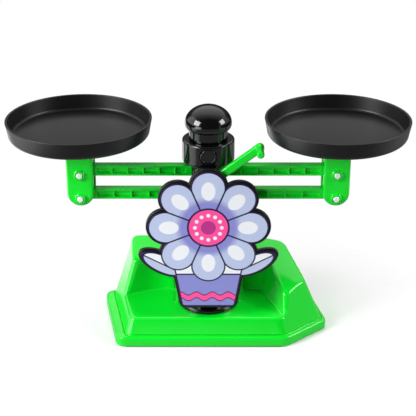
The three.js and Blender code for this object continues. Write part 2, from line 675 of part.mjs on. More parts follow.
function beam(pinZ, ribs) {
  const pockets = ribs.slice(1).flatMap((rib, i) => beamPockets(ribs[i], rib, pinZ));
  const halfHub = POST_DEPTH / 2 - POST_CHEEK - SIDE_PLAY;
  const fulcrumZ = pinZ + FULCRUM_RISE;
  return cut(
    joined(
      plate(beamOutline(pinZ), -BEAM_DEPTH / 2, BEAM_DEPTH / 2),
      rodAlongY(END_HUB_RADIUS, -halfHub, halfHub, -POST_X, pinZ),
      rodAlongY(END_HUB_RADIUS, -halfHub, halfHub, POST_X, pinZ),
      rodAlongY(FULCRUM_HUB_RADIUS, -BEAM_DEPTH / 2, BEAM_DEPTH / 2, 0, fulcrumZ),
    ),
    ...pockets,
    rodAlongY(PIN_RADIUS + RUNNING_GAP, -BEYOND, BEYOND, -POST_X, pinZ),
    rodAlongY(PIN_RADIUS + RUNNING_GAP, -BEYOND, BEYOND, POST_X, pinZ),
    rodAlongY(FULCRUM_PIN_RADIUS + RUNNING_GAP, -BEYOND, BEYOND, 0, fulcrumZ),
  );
}

function addBeams() {
  const upperRibs = ribPlaces(UPPER_FIRST_RIB, UPPER_SECOND_RIB, UPPER_RIB_PITCH);
  const lowerRibs = ribPlaces(LOWER_FIRST_RIB, LOWER_FIRST_RIB + LOWER_RIB_PITCH, LOWER_RIB_PITCH);
  addPiece("upper_beam", beam(UPPER_PIN_Z, upperRibs), GREEN);
  addPiece("lower_beam", beam(LOWER_PIN_Z, lowerRibs), GREEN);
}

// Carriers: a post, its two pins and the pan on top, about the post's own axis
function post(outward) {
  const half = POST_WIDTH / 2;
  const top = PAN_BOTTOM_Z - SEAT_GAP;
  const tail = LOWER_PIN_Z - POST_TAIL;
  const outline = new THREE.Shape()
    .moveTo(half, top)
    .lineTo(-half, top)
    .absarc(0, tail + half, half, Math.PI, 2 * Math.PI);
  const front = -POST_DEPTH / 2;
  const cheek = POST_DEPTH / 2 - POST_CHEEK;
  const slotSides = [outward * (half - POST_WEB), -outward * (half + BEYOND)].sort((a, b) => a - b);
  const pinHeights = [UPPER_PIN_Z, LOWER_PIN_Z];
  return cut(
    joined(
      plate(outline, front, POST_DEPTH / 2, POST_EDGE),
      ...pinHeights.map((z) => rodAlongY(RING_RADIUS, front - RING_HEIGHT, -cheek, 0, z)),
    ),
    box(...slotSides, -cheek, cheek, tail - BEYOND, UPPER_PIN_Z + POST_SLOT_ROOM),
    ...pinHeights.map((z) => rodAlongY(PIN_RADIUS + SEAT_GAP, -BEYOND, BEYOND, 0, z)),
    rodAlongZ(PAN_STUB_RADIUS + SEAT_GAP, PAN_BOTTOM_Z - PAN_STUB_LENGTH - SEAT_GAP, top + BEYOND, 0, 0),
  );
}

function endPin(z) {
  const front = -POST_DEPTH / 2 - RING_HEIGHT - PIN_PROUD;
  const head = POST_DEPTH / 2 + SEAT_GAP;
  const back = head + PIN_HEAD_HEIGHT;
  const points = [
    [0, front],
    [PIN_RADIUS - PIN_EDGE, front],
    [PIN_RADIUS, front + PIN_EDGE],
    [PIN_RADIUS, head],
    [PIN_HEAD_RADIUS, head],
    [PIN_HEAD_RADIUS, back - PIN_EDGE],
    [PIN_HEAD_RADIUS - PIN_EDGE, back],
    [0, back],
  ].map(([radius, y]) => new THREE.Vector2(radius, y));
  return new THREE.LatheGeometry(points, PIN_SIDES).translate(0, 0, z);
}

function pan() {
  const bottom = PAN_BOTTOM_Z;
  const stub = bottom - PAN_STUB_LENGTH;
  const floor = bottom + PAN_FLOOR;
  const lip = PAN_WALL / 2;
  const fillet = PAN_FILLET;
  return turned(
    [
      [0, stub],
      [PAN_STUB_RADIUS, stub],
      [PAN_STUB_RADIUS, bottom],
      ...profileArc(PAN_BASE_RADIUS - fillet, bottom + fillet, fillet, fillet, -90, 0, EDGE_STEPS),
      ...profileArc(PAN_RADIUS - lip, PAN_RIM_Z - lip, lip, lip, 0, 180, 2 * EDGE_STEPS),
      ...profileArc(PAN_BASE_RADIUS - PAN_WALL - fillet, floor + fillet, fillet, fillet, 0, -90, EDGE_STEPS),
      [0, floor],
    ],
    PAN_SIDES,
  );
}

function addCarrier(side, outward) {
  const carrier = new THREE.Group();
  carrier.position.x = outward * POST_X;
  scale.add(carrier);
  addPiece(`${side}_post`, post(outward), GREEN, carrier);
  addPiece(`${side}_upper_pin`, solid(endPin(UPPER_PIN_Z)), STEEL, carrier);
  addPiece(`${side}_lower_pin`, solid(endPin(LOWER_PIN_Z)), STEEL, carrier);
  addPiece(`${side}_pan`, solid(pan()), SATIN_BLACK, carrier);
}

// Lever: a bar with a finger peg, drawn level from its pivot and turned up to its place
function addLever() {
  const lever = new THREE.Group();
  lever.position.z = LEVER_Z;
  lever.rotation.y = -rad(LEVER_ANGLE_DEG);
  scale.add(lever);

  const half = LEVER_WIDTH / 2;
  const bar = new THREE.Shape()
    .absarc(LEVER_LENGTH, LEVER_OFFSET, half, -Math.PI / 2, Math.PI / 2)
    .absarc(0, LEVER_OFFSET, half, Math.PI / 2, 1.5 * Math.PI);
  const peg = new THREE.Shape().absarc(LEVER_LENGTH, LEVER_OFFSET, PEG_RADIUS, 0, 2 * Math.PI);
  const shaftFront = LEVER_FRONT_Y + LEVER_FACE;
  const body = cut(
    joined(
      plate(bar, LEVER_FRONT_Y, LEVER_BACK_Y, LEVER_EDGE),
      plate(peg, LEVER_FRONT_Y - PEG_FRONT, LEVER_BACK_Y + PEG_BACK, PEG_EDGE),
      rodAlongY(LEVER_HUB_RADIUS, LEVER_FRONT_Y + LEVER_EDGE, -COLUMN_RADIUS - SEAT_GAP, 0, 0),
    ),
    rodAlongY(SHAFT_RADIUS + SEAT_GAP, shaftFront, BEYOND, 0, 0),
  );
  addPiece("lock_lever", body, GREEN, lever);

  const shaft = rodAlongY(SHAFT_RADIUS, shaftFront + SEAT_GAP, SLOT_WIDTH / 2 + SHAFT_SEAT, 0, 0);
  addPiece("lever_shaft", solid(shaft), STEEL, lever);

  const cam = new THREE.Shape().absellipse(0, 0, CAM_SHORT_RADIUS, CAM_LONG_RADIUS, 0, 2 * Math.PI);
  cam.holes.push(new THREE.Path().absarc(0, 0, SHAFT_RADIUS + SEAT_GAP, 0, 2 * Math.PI));
  addPiece("brake_cam", solid(plate(cam, -BEAM_DEPTH / 2, BEAM_DEPTH / 2)), GLOSS_BLACK, lever);
}

// Plaque: a flower in a pot, as a black backing that plugs onto the column and a printed card
function flower(inset) {
  const radius = PETAL_RADIUS - inset;
  const steps = PETAL_COUNT * 2 * ARC_STEPS;
  const points = Array.from({ length: steps }, (_, i) => {
    const angle = (2 * Math.PI * i) / steps;
    const pitch = (2 * Math.PI) / PETAL_COUNT;
    const offAxis = angle - pitch * Math.round(angle / pitch);
    const beside = PETAL_REACH * Math.sin(offAxis);
    const reach = PETAL_REACH * Math.cos(offAxis) + Math.sqrt(radius ** 2 - beside ** 2);
    return new THREE.Vector2(reach * Math.cos(angle), FLOWER_Z + reach * Math.sin(angle));
  });
  return new THREE.Shape(points);
}

function pot(inset) {
  const corners = [
    new THREE.Vector2(-POT_BOTTOM_WIDTH / 2, POT_BOTTOM_Z),
    new THREE.Vector2(POT_BOTTOM_WIDTH / 2, POT_BOTTOM_Z),
    new THREE.Vector2(POT_TOP_WIDTH / 2, POT_TOP_Z),
    new THREE.Vector2(-POT_TOP_WIDTH / 2, POT_TOP_Z),
  ];
  const inner = insetOutline(corners, corners.map(() => inset));
  return new THREE.Shape(roundCorners(inner, corners.map(() => POT_CORNER - inset)));
}

function leaf(side, inset) {
  const halfLength = LEAF_LENGTH / 2 - inset;
  const halfWidth = LEAF_WIDTH / 2 - inset;
  const lift = side * rad(LEAF_LIFT_DEG);
  const x = side * LEAF_X;
  return new THREE.Shape().absellipse(x, LEAF_Z, halfLength, halfWidth, 0, 2 * Math.PI, false, lift);
}

// The plaque's outline, drawn in by a border, as one plate
function plaquePlate(inset, yLow, yHigh) {
  const shapes = [flower(inset), pot(inset), leaf(-1, inset), leaf(1, inset)];
  return shapes.map((shape) => solid(plate(shape, yLow, yHigh))).reduce((whole, next) => whole.add(next));
}

function addPlaque() {
  const backingFront = PLAQUE_BACK_Y - BACKING_THICKNESS;
  const pegs = PLAQUE_PEGS_Z.map((z) =>
    rodAlongY(PLAQUE_PEG_RADIUS, backingFront, PLAQUE_BACK_Y + PLAQUE_PEG_LENGTH, 0, z),
  );
  addPiece("plaque_backing", plaquePlate(0, backingFront, PLAQUE_BACK_Y).add(joined(...pegs)), SATIN_BLACK);

  const cardBack = backingFront - SEAT_GAP;
  addPiece("plaque_card", plaquePlate(CARD_BORDER, cardBack - CARD_THICKNESS, cardBack), PRINT);
}

addBase();
addColumn();
addColumnCap();
addFulcrumPins();
addBeams();
addCarrier("left", -1);
addCarrier("right", 1);
addLever();
addPlaque();

export default scale;
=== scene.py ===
"""Looks of a toy balance scale: moulded skins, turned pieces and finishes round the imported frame."""

import json
import math
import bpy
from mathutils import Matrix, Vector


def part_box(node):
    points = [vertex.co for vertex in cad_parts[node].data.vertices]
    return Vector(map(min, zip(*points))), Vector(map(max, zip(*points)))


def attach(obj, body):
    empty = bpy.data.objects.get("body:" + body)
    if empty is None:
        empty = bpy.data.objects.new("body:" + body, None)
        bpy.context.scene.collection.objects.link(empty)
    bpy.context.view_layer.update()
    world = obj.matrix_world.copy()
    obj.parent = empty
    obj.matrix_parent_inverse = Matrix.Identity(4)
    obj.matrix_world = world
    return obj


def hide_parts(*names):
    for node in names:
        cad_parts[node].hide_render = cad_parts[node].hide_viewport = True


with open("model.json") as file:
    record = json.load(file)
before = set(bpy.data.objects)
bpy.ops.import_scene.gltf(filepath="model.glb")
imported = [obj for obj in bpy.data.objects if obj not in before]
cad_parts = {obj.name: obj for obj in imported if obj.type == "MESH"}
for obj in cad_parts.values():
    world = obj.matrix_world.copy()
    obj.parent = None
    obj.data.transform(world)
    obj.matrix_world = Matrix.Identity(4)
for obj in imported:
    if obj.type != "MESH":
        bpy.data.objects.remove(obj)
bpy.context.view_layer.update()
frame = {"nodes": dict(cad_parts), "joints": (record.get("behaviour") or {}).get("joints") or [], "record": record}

from types import SimpleNamespace

import bmesh
import bpy
import numpy as np
from bpy.props import FloatProperty, FloatVectorProperty, IntProperty, PointerProperty
from mathutils import Matrix, Vector

bl_info = {
    "name": "Toy balance scale",
    "version": (1, 0, 0),
    "blender": (4, 5, 0),
    "location": "View3D > Sidebar > Balance",
    "description": "Builds the visible pieces of a toy balance scale round its frame",
    "category": "Object",
}

MM = 0.001
JOINTS = {joint["name"]: Vector(joint["pos_m"]) / MM for joint in frame["joints"]}

# Sides of the cells that the skins are made of, in millimetres
BASE_CELL = 1.0
COLUMN_CELL = 0.9
BEAM_CELL = 0.45
POST_CELL = 0.7
LEVER_CELL = 0.55
BACKING_CELL = (0.8, 0.7, 0.8)
CARD_CELL = (0.7, 0.2, 0.7)
SETTLE_PASSES = 4  # that set a skin's points onto its surface
LEAST_SLOPE = 0.2  # that a step towards the surface is worked out with
TINY = 1e-6

# Sides round the axis of the turned pieces, and the turn from which an edge is sharp
PAN_SIDES = 192
CAP_SIDES = 160
PLUG_SIDES = 96
PIN_SIDES = 64
WIDE_SHARP = math.radians(40)
SMALL_SHARP = math.radians(50)

# Bevels of the pieces that keep their frame mesh, in millimetres
UNDERSIDE_BEVEL = 0.4
FULCRUM_BEVEL = 0.3
SHAFT_BEVEL = 0.2

# Fine roundings and gaps, in millimetres; bosses and bores are given by their radius
SHAFT_DROP = 1.0  # from the shoulder's top to the shaft's
SHAFT_FILLET = 0.8
BOSS = 7.0
BEAM_SLOT_EDGE = 0.6
FULCRUM_BORE = 2.8
LEVER_BORE = 2.3
PLUG_POCKET_EDGE = 0.4
NECK_EDGE = 0.4
PLUG_EDGE = 0.6
PLUG_LIP = 1.3  # from the plug's side to its hollow face
DISH = 0.3  # depth of the plug's hollow face
DISH_EDGE = 0.4
FULCRUM_FILLET = 0.6
POST_EDGE = 0.8  # at the top and in the slot
RING_EDGE = 0.5
LEVER_HUB_INSET = 1.0
LEVER_HUB_EDGE = 0.6
PEG_FILLET = 0.8
CARD_EDGE = 0.25

# The print on the card, in millimetres; the ink of seams, veins and bands is given by its half width
INK_EDGE = 0.25
OUTLINE_INK = 1.3
SEAM_INK = 0.7
VEIN_INK = 0.6
SOFT_INK_EDGE = 1.0
BLUSH = 8.5
BLUSH_IN = 3.0  # from a petal's middle
BLUSH_NARROWS = 1.4
ROOT_SHADE = 26.0
ROOT_FADE = 6.0
MIDDLE_RING = 18.4
MIDDLE = 16.8
MIDDLE_SHADE = 6.4
SEED = 1.7
SEED_CIRCLE = 11.5
POT_RIM = 12.0
BAND_HEIGHT = 12.0
BAND = 2.5
BAND_INK = 3.4
WAVE = 1.6
WAVE_TURN = 0.45  # radians to the millimetre

# The studio, in metres
AIM = Vector((0.0, 0.0, 0.18))
LIGHT_REACH = 1.1
KEY_WAY = Vector((-0.80, -0.44, 0.40))
SIDE_WAY = Vector((0.89, -0.18, 0.416))
FRONT_PLACE = (-0.40, -1.18, 0.36)
TOP_PLACE = (0.0, 0.5, 1.16)
SENSOR_WIDTH = 36.0  # of the camera, in millimetres
FLOOR_SIZE = 6.0
FLOOR_REACH = 0.17  # where the floor is half faded
FLOOR_FADE = 0.12

# What gloss shows of the studio: parts of a direction, to the right, back and up
WALL_SOFT = 0.12
LEFT_WALL = -0.78
RIGHT_WALL = 0.80
BACKDROP_FOOT = 0.44
BACK_LEFT = -0.48
BACK_LEFT_HALF = 0.14
TABLE_EDGE = -0.2
TABLE_SOFT = 0.1
LOW_LEFT = -0.58
LOW_LEFT_SOFT = 0.1
LOW_LEFT_MIDDLE = -0.12
LOW_LEFT_HALF = 0.14
LOW_LEFT_FADE = 0.08
LOW_LEFT_END = 0.2
CEILING_FRONT = -0.1
CEILING_SOFT = 0.7


def millimetres(node):
    """The lowest and highest corners of a frame node, in millimetres."""
    low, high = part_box(node)
    return low / MM, high / MM


def body_of(node):
    bodies = frame["record"]["behaviour"]["bodies"]
    return next(body for body, nodes in bodies.items() if node in nodes)


def slot_of(node):
    subparts = frame["record"]["subparts"]
    return next(part["material_slot"] for part in subparts if part["node"] == node)


# Smooth solids: each is a field over points in millimetres, below zero inside

def blend_min(first, second, radius):
    """The nearer of two fields, with the crease between them filled to about this radius."""
    share = np.clip(0.5 + 0.5 * (second - first) / radius, 0.0, 1.0)
    return second + (first - second) * share - radius * share * (1.0 - share)


def blend_max(first, second, radius):
    """The farther of two fields, with the edge between them rounded to about this radius."""
    return -blend_min(-first, -second, radius)


def rounded_common(fields, radius):
    """The space that all the fields share, with rounded edges."""
    whole = fields[0]
    for field in fields[1:]:
        whole = blend_max(whole, field, radius)
    return whole


def slab(value, low, high):
    """The space between two levels of one coordinate."""
    return np.maximum(low - value, value - high)


def rod(across, up, radius):
    """A round rod along the axis that isn't given, about the origin of the two that are."""
    return np.sqrt(across * across + up * up) - radius


def drafted_sides(x, y, rise, corners, drafts, insets):
    """The sides of a block on a plan of corners, each leaning in by its draft as it rises."""
    sides = []
    for i, (start, draft, inset) in enumerate(zip(corners, drafts, insets)):
        end = corners[(i + 1) % len(corners)]
        run = math.dist(start, end)
        out_x = (end[1] - start[1]) / run
        out_y = (start[0] - end[0]) / run
        level = (x - start[0]) * out_x + (y - start[1]) * out_y + inset
        sides.append(level * math.cos(draft) + rise * math.sin(draft))
    return sides


def slope_of(field, points, reach=0.02):
    """The field's direction of steepest rise at each point."""
    rises = []
    for axis in range(3):
        ahead = points.copy()
        behind = points.copy()
        ahead[:, axis] += reach
        behind[:, axis] -= reach
        rises.append((field(*ahead.T) - field(*behind.T)) / (2 * reach))
    return np.stack(rises, axis=1)


def crossing_cells(values, lines, steps):
    """One point in each grid cell that the surface passes through, and each cell's number."""
    counts = [size - 1 for size in values.shape]
    total = np.zeros(counts + [3])
    hits = np.zeros(counts)
    for axis in range(3):
        near = np.moveaxis(values, axis, 0)[:-1]
        far = np.moveaxis(values, axis, 0)[1:]
        crossed = (near < 0) != (far < 0)
        share = np.where(crossed, near / np.where(crossed, near - far, 1.0), 0.0)
        crossed = np.moveaxis(crossed, 0, axis)
        share = np.moveaxis(share, 0, axis)
        others = [other for other in range(3) if other != axis]
        for first in (0, 1):
            for second in (0, 1):
                pick = [slice(None)] * 3
                pick[others[0]] = slice(first, first + counts[others[0]])
                pick[others[1]] = slice(second, second + counts[others[1]])
                here = crossed[tuple(pick)]
                hits += here
                total[..., axis] += np.where(here, share[tuple(pick)], 0.0)
                total[..., others[0]] += here * first
                total[..., others[1]] += here * second
    cells = np.argwhere(hits > 0)
    numbers = np.full(counts, -1)
    numbers[tuple(cells.T)] = np.arange(len(cells))
    offset = total[tuple(cells.T)] / hits[tuple(cells.T)][:, None]
    start = np.array([line[0] for line in lines])
    return start + (cells + offset) * np.array(steps), numbers


def crossing_quads(values, numbers):
    """One quad round each grid edge that the surface cuts, facing out."""
    quads = []
    for axis in range(3):
        order = [axis, (axis + 1) % 3, (axis + 2) % 3]
        level = np.transpose(values, order)
        cell = np.transpose(numbers, order)
        inside = level < 0
        cut = inside[:-1, 1:-1, 1:-1] != inside[1:, 1:-1, 1:-1]
        i, j, k = np.nonzero(cut)
        around = (cell[i, j, k], cell[i, j + 1, k], cell[i, j + 1, k + 1], cell[i, j, k + 1])
        ring = np.stack(around, axis=1)
        leaving = inside[i, j + 1, k + 1]
        quads.append(np.where(leaving[:, None], ring, ring[:, ::-1]))
    return np.concatenate(quads)


def skin(name, field, low, high, steps):
    """A mesh on the field's zero level, set exactly onto it, with the field's own normals."""
    lines = [np.arange(a - 2 * s, b + 2.5 * s, s) for a, b, s in zip(low, high, steps)]
    values = field(lines[0][:, None, None], lines[1][None, :, None], lines[2][None, None, :])
    points, numbers = crossing_cells(values, lines, steps)
    quads = crossing_quads(values, numbers)
    for _ in range(SETTLE_PASSES):
        slope = slope_of(field, points)
        push = field(*points.T) / np.maximum((slope * slope).sum(axis=1), LEAST_SLOPE)
        points -= np.clip(push, -min(steps), min(steps))[:, None] * slope
    normals = slope_of(field, points)
    normals /= np.maximum(np.linalg.norm(normals, axis=1), TINY)[:, None]
    mesh = bpy.data.meshes.new(name)
    mesh.from_pydata((points * MM).tolist(), [], quads.tolist())
    mesh.polygons.foreach_set("use_smooth", np.ones(len(quads), dtype=bool))
    mesh.normals_split_custom_set_from_vertices(normals.tolist())
    mesh.update()
    return linked(name, mesh)


def linked(name, mesh):
    piece = bpy.data.objects.new(name, mesh)
    bpy.context.scene.collection.objects.link(piece)
    return piece


def arc(centre, reach, start, end, steps):
    """Points on an arc of a turned profile, from one angle in degrees to another."""
    angles = np.radians(np.linspace(start, end, steps + 1))
    return [(centre[0] + reach[0] * math.cos(a), centre[1] + reach[1] * math.sin(a)) for a in angles]


def turned(name, profile, sides, sharp_angle):
    """Turns a profile of radius and height, in millimetres, about Z. A point given twice is a sharp edge."""
    bm = bmesh.new()
    turns = [2 * math.pi * i / sides for i in range(sides)]
    rings = []
    creased = []
    for i, (radius, height) in enumerate(profile):
        if i and math.dist(profile[i - 1], profile[i]) < TINY:
            creased.append(rings[-1])
        elif radius < TINY:
            rings.append([bm.verts.new((0.0, 0.0, height * MM))])
        else:
            spots = [(radius * MM * math.cos(a), radius * MM * math.sin(a), height * MM) for a in turns]
            rings.append([bm.verts.new(spot) for spot in spots])
    for lower, upper in zip(rings, rings[1:]):
        for i in range(sides):
            j = (i + 1) % sides
            corners = [ring[k % len(ring)] for ring, k in ((lower, i), (lower, j), (upper, j), (upper, i))]
            bm.faces.new(list(dict.fromkeys(corners)))
    bm.edges.index_update()
    creases = [bm.edges.get((ring[i - 1], ring[i])).index for ring in creased for i in range(sides)]
    mesh = bpy.data.meshes.new(name)
    bm.to_mesh(mesh)
    bm.free()
    mesh.polygons.foreach_set("use_smooth", np.ones(len(mesh.polygons), dtype=bool))
    mesh.set_sharp_from_angle(angle=sharp_angle)
    for index in creases:
        mesh.edges[index].use_edge_sharp = True
    return linked(name, mesh)


# Sizes, colours and light

def length(name, description, size):
    return FloatProperty(name=name, description=description, default=size * MM, precision=5, unit="LENGTH")


def angle(name, description, degrees):
    return FloatProperty(name=name, description=description, default=math.radians(degrees), subtype="ANGLE")


def colour(name, description, rgb):
    return FloatVectorProperty(
        name=name, description=description, default=rgb, size=3, min=0.0, max=1.0, subtype="COLOR"
    )


def amount(name, description, value):
    return FloatProperty(name=name, description=description, default=value, min=0.0, subtype="FACTOR")


def power(name, description, watts):
    return FloatProperty(name=name, description=description, default=watts, unit="POWER")


class BalanceBaseSizes(bpy.types.PropertyGroup):
    """Sizes of the moulded base."""

    front_left: length("Front left", "X of the front left corner", -81.6)
    front_right: length("Front right", "X where the chamfer leaves the front", 69.8)
    chamfer_x: length("Chamfer X", "X of the chamfer's back end", 108)
    chamfer_y: length("Chamfer Y", "Y of the chamfer's back end", -6.5)
    back_right: length("Back right", "X of the back right corner", 95.1)
    back_left: length("Back left", "X of the back left corner", -99.1)
    front_ledge: length("Front ledge", "How far the flange stands out at the front and back", 3.5)
    right_ledge: length("Right ledge", "How far the flange stands out at the chamfer and the right", 3.6)
    left_ledge: length("Left ledge", "How far the flange stands out at the left", 8.7)
    flange_top: length("Flange top", "Height of the flange's top", 10)
    flange_edge: length("Flange edge", "Rounding of the flange's top edge", 2.4)
    flange_crease: length("Flange crease", "Rounding where the walls meet the flange", 0.3)
    groove: length("Groove", "Radius of the fine groove at the walls' foot", 0.9)
    front_corner: length("Front left corner", "Rounding of the flange's front left corner in plan", 9)
    wall_corner: length("Wall front left corner", "Rounding of the walls' front left corner in plan", 6)
    chamfer_corner: length("Chamfer corners", "Rounding of the chamfer's two corners in plan", 4)
    back_corner: length("Back corners", "Rounding of the flange's back corners in plan", 14)
    wall_back_corner: length("Wall back corners", "Rounding of the walls' back corners in plan", 6)
    edge: length("Edges", "Rounding of the block's top edges", 2.2)
    left_edge: length("Left upright edge", "Rounding of the upright edge left of the recess", 6)
    right_edge: length("Right upright edge", "Rounding of the upright edge right of the recess", 7)
    edge_rise: length("Edge rise", "Height over which the upright edges take their full rounding", 4)
    fillet: length("Fillets", "Rounding at the recess's floor", 1.8)
    recess_corner: length("Recess corners", "Rounding of the recess's corners in plan", 4)
    top_at_axis: length("Top height", "Height of the sloped top over the column's axis", 52.2)
    floor: length("Recess floor", "Height of the recess floor", 26)
    recess_back: length("Recess back", "Y of the recess's back wall", 22)
    recess_right: length("Recess right", "X of the recess's right back corner", 48.6)
    recess_left: length("Recess left", "X of the recess's left back corner", -47.7)
    niche_side_room: length("Niche side room", "Space beside the column's foot", 3.5)
    niche_back_room: length("Niche back room", "Space behind the column's foot", 5.5)
    niche_corner: length("Niche corners", "Rounding of the niche's corners in plan", 6)
    cover_inset: length("Cover inset", "From the base's outline to its cover's recess", 6.7)
    cover_room: length("Cover room", "Gap over the cover", 0.3)
    chamfer_top: length("Chamfer top", "Height of the chamfer's top edge", 48.7)
    top_slope: angle("Top slope", "Slope of the top towards the front", 21.7)
    right_slope: angle("Right slope", "Slope of the right block's top towards the chamfer", 17.4)
    front_draft: angle("Front draft", "Lean of the front", 11)
    chamfer_draft: angle("Chamfer draft", "Lean of the chamfer", 17.5)
    right_draft: angle("Right draft", "Lean of the right side", 22)
    back_draft: angle("Back draft", "Lean of the back", 1)
    left_draft: angle("Left draft", "Lean of the left side", 16.7)
    recess_right_lean: angle("Recess right turn", "Turn of the recess's right wall in plan", 20.2)
    recess_left_turn: angle("Recess left turn", "Turn of the recess's left wall in plan", 24)
    recess_right_draft: angle("Recess right draft", "Lean of the recess's right wall", 9.2)
    recess_back_draft: angle("Recess back draft", "Lean of the recess's back wall", 2)
    recess_left_draft: angle("Recess left draft", "Lean of the recess's left wall", 2)
    niche_draft: angle("Niche draft", "Lean of the niche's walls", 3)


class BalanceLinkSizes(bpy.types.PropertyGroup):
    """Sizes of the beams, the posts, their pins and the pans."""

    beam_height: length("Beam height", "Height of a beam", 9.5)
    beam_depth: length("Beam depth", "Depth of a beam, front to back", 8)
    flange: length("Beam flange", "Thickness of a beam's top and bottom", 2.0)
    web: length("Beam web", "Thickness of a beam's web", 1.8)
    rib: length("Beam rib", "Thickness of a rib", 1.4)
    beam_edge: length("Beam edges", "Rounding of a beam's long edges", 0.5)
    pocket_edge: length("Pocket edges", "Rounding of a beam's ribs and pockets", 0.25)
    upper_first: length("Upper first rib", "First rib of the upper beam, from the axis", 18.7)
    upper_second: length("Upper second rib", "Second rib of the upper beam, from the axis", 28.6)
    upper_pitch: length("Upper rib pitch", "Between the upper beam's ribs", 13.75)
    lower_first: length("Lower first rib", "First rib of the lower beam, from the axis", 21.1)
    lower_pitch: length("Lower rib pitch", "Between the lower beam's ribs", 15.3)
    end_hub: length("End hub", "Radius of a beam's end hub", 5)
    fulcrum_hub: length("Fulcrum hub", "Radius of a beam's middle hub", 5.5)
    fulcrum_hole: length("Fulcrum hole", "Radius of the hole for a fulcrum pin", 2.8)
    pin_hole: length("Pin hole", "Radius of the holes for the end pins", 2.9)
    pin: length("Pin", "Radius of an end pin", 2.6)
    pin_edge: length("Pin edge", "Rounding of a pin's front end", 0.7)
    pin_head: length("Pin head", "Radius of a pin's head at the back", 4.6)
    pin_head_height: length("Pin head height", "Height of a pin's head", 1.6)
    post_edge: length("Post edges", "Rounding of a post's long edges", 2.8)
    cheek: length("Post cheek", "Thickness of a post's front and back", 6)
    post_web: length("Post web", "Thickness of a post's outer side", 3)
    slot_room: length("Slot room", "From the upper pin to the slot's top", 9)
    ring: length("Ring", "Radius of the ring round a pin", 4.6)
    pan_wall: length("Pan wall", "Thickness of a pan's wall", 2.2)
    pan_floor: length("Pan floor", "Thickness of a pan's floor", 2.2)
    pan_height: length("Pan height", "Height of a pan", 15.2)
    pan_taper: length("Pan taper", "How much narrower a pan's foot is", 2)
    pan_fillet: length("Pan fillet", "Rounding at the edge of a pan's floor", 2.4)
    pan_foot: length("Pan foot", "Rounding of a pan's foot", 4.5)
    pan_lip: length("Pan lip", "Rounding of a pan's lip", 0.4)
    stub: length("Pan stub", "Radius of the stub under a pan", 7)
    stub_room: length("Stub room", "Gap round a pan's stub", 0.3)
    stub_length: length("Stub length", "Length of a pan's stub", 8)


class BalanceColumnSizes(bpy.types.PropertyGroup):
    """Sizes of the column, its cap and the lever."""

    foot_height: length("Foot height", "Thickness of the column's foot", 4)
    foot_edge: length("Foot edge", "Rounding of the foot's edge", 1.4)
    shaft: length("Shaft", "Radius of the column's shaft", 15.5)
    shoulder: length("Shoulder", "Radius of the column's shoulder", 22.6)
    shoulder_height: length("Shoulder height", "Height of the shoulder", 19.6)
    cone: length("Shoulder cone", "Height of the cone under the shoulder", 4.4)
    shoulder_edge: length("Shoulder edge", "Rounding of the shoulder's edges", 1.6)
    slot_low: length("Slot bottom", "Height of the beam slot's bottom", 126.96)
    slot_high: length("Slot top", "Height of the beam slot's top", 163.9)
    slot_width: length("Slot width", "Width of the beam slot", 9.2)
    plug: length("Plug", "Radius of the plug in the shoulder", 6.9)
    plug_height: length("Plug height", "Height of the plug's axis", 176)
    plug_room: length("Plug room", "Gap round the plug", 0.3)
    neck: length("Neck", "Radius of the neck under the dome", 16.7)
    neck_height: length("Neck height", "Height of the neck", 8.4)
    dome_skirt: length("Dome skirt", "Height of the dome's lower, inward curve", 5.5)
    cap_stub: length("Cap stub", "Radius of the stub under the cap", 6)
    cap_room: length("Cap room", "Gap round the cap's stub", 0.3)
    bar_width: length("Lever width", "Width of the lever's bar", 7.4)
    bar_length: length("Lever length", "From the lever's shaft to its peg, along the bar", 57.8)
    bar_offset: length("Lever offset", "From the shaft up to the bar's middle line", 3.9)
    bar_thickness: length("Lever thickness", "Thickness of the lever's bar", 5.4)
    bar_edge: length("Lever edges", "Rounding of the lever's edges", 1.5)
    bar_back: length("Lever back", "Y of the bar's back face", -19.5)
    peg: length("Peg", "Radius of the finger peg", 3.2)
    peg_edge: length("Peg edge", "Rounding of the peg's ends", 1.5)
    hub: length("Lever hub", "Radius of the hub behind the bar", 5)
    shaft_hole: length("Shaft hole", "Radius of the hole for the lever's shaft", 2.3)
    shaft_face: length("Shaft face", "What is left of the bar in front of its shaft", 1.5)
    bar_angle: angle("Lever angle", "Rise of the lever at rest", 37.6)


class BalancePlaqueSizes(bpy.types.PropertyGroup):
    """Sizes of the flower plaque."""

    petals: IntProperty(name="Petals", description="Number of petals", default=8, min=3)
    flower_height: length("Flower height", "Height of the flower's middle", 115)
    petal_reach: length("Petal reach", "From the flower's middle to a petal's middle", 37)
    petal: length("Petal", "Radius of a petal", 17)
    pot_top: length("Pot top", "Height of the pot's rim", 82)
    pot_bottom: length("Pot bottom", "Height of the pot's foot", 36)
    pot_top_width: length("Pot top width", "Width of the pot's rim", 66)
    pot_bottom_width: length("Pot bottom width", "Width of the pot's foot", 50)
    pot_corner: length("Pot corner", "Rounding of the pot's corners", 6)
    leaf_x: length("Leaf X", "From the axis to a leaf's middle", 40)
    leaf_height: length("Leaf height", "Height of a leaf's middle", 80)
    leaf_length: length("Leaf length", "Length of a leaf", 46)
    leaf_width: length("Leaf width", "Width of a leaf", 21)
    border: length("Border", "How far the card is set in from the backing", 2)
    plate_edge: length("Backing edge", "Rounding of the backing's edges", 1.2)
    peg: length("Plaque peg", "Radius of the pegs behind the backing", 3.5)
    peg_low: length("Lower peg", "Height of the lower peg", 60)
    peg_high: length("Upper peg", "Height of the upper peg", 104)
    back: length("Backing back", "Y of the backing's back face", -27)
    leaf_lift: angle("Leaf lift", "Rise of a leaf", 28)


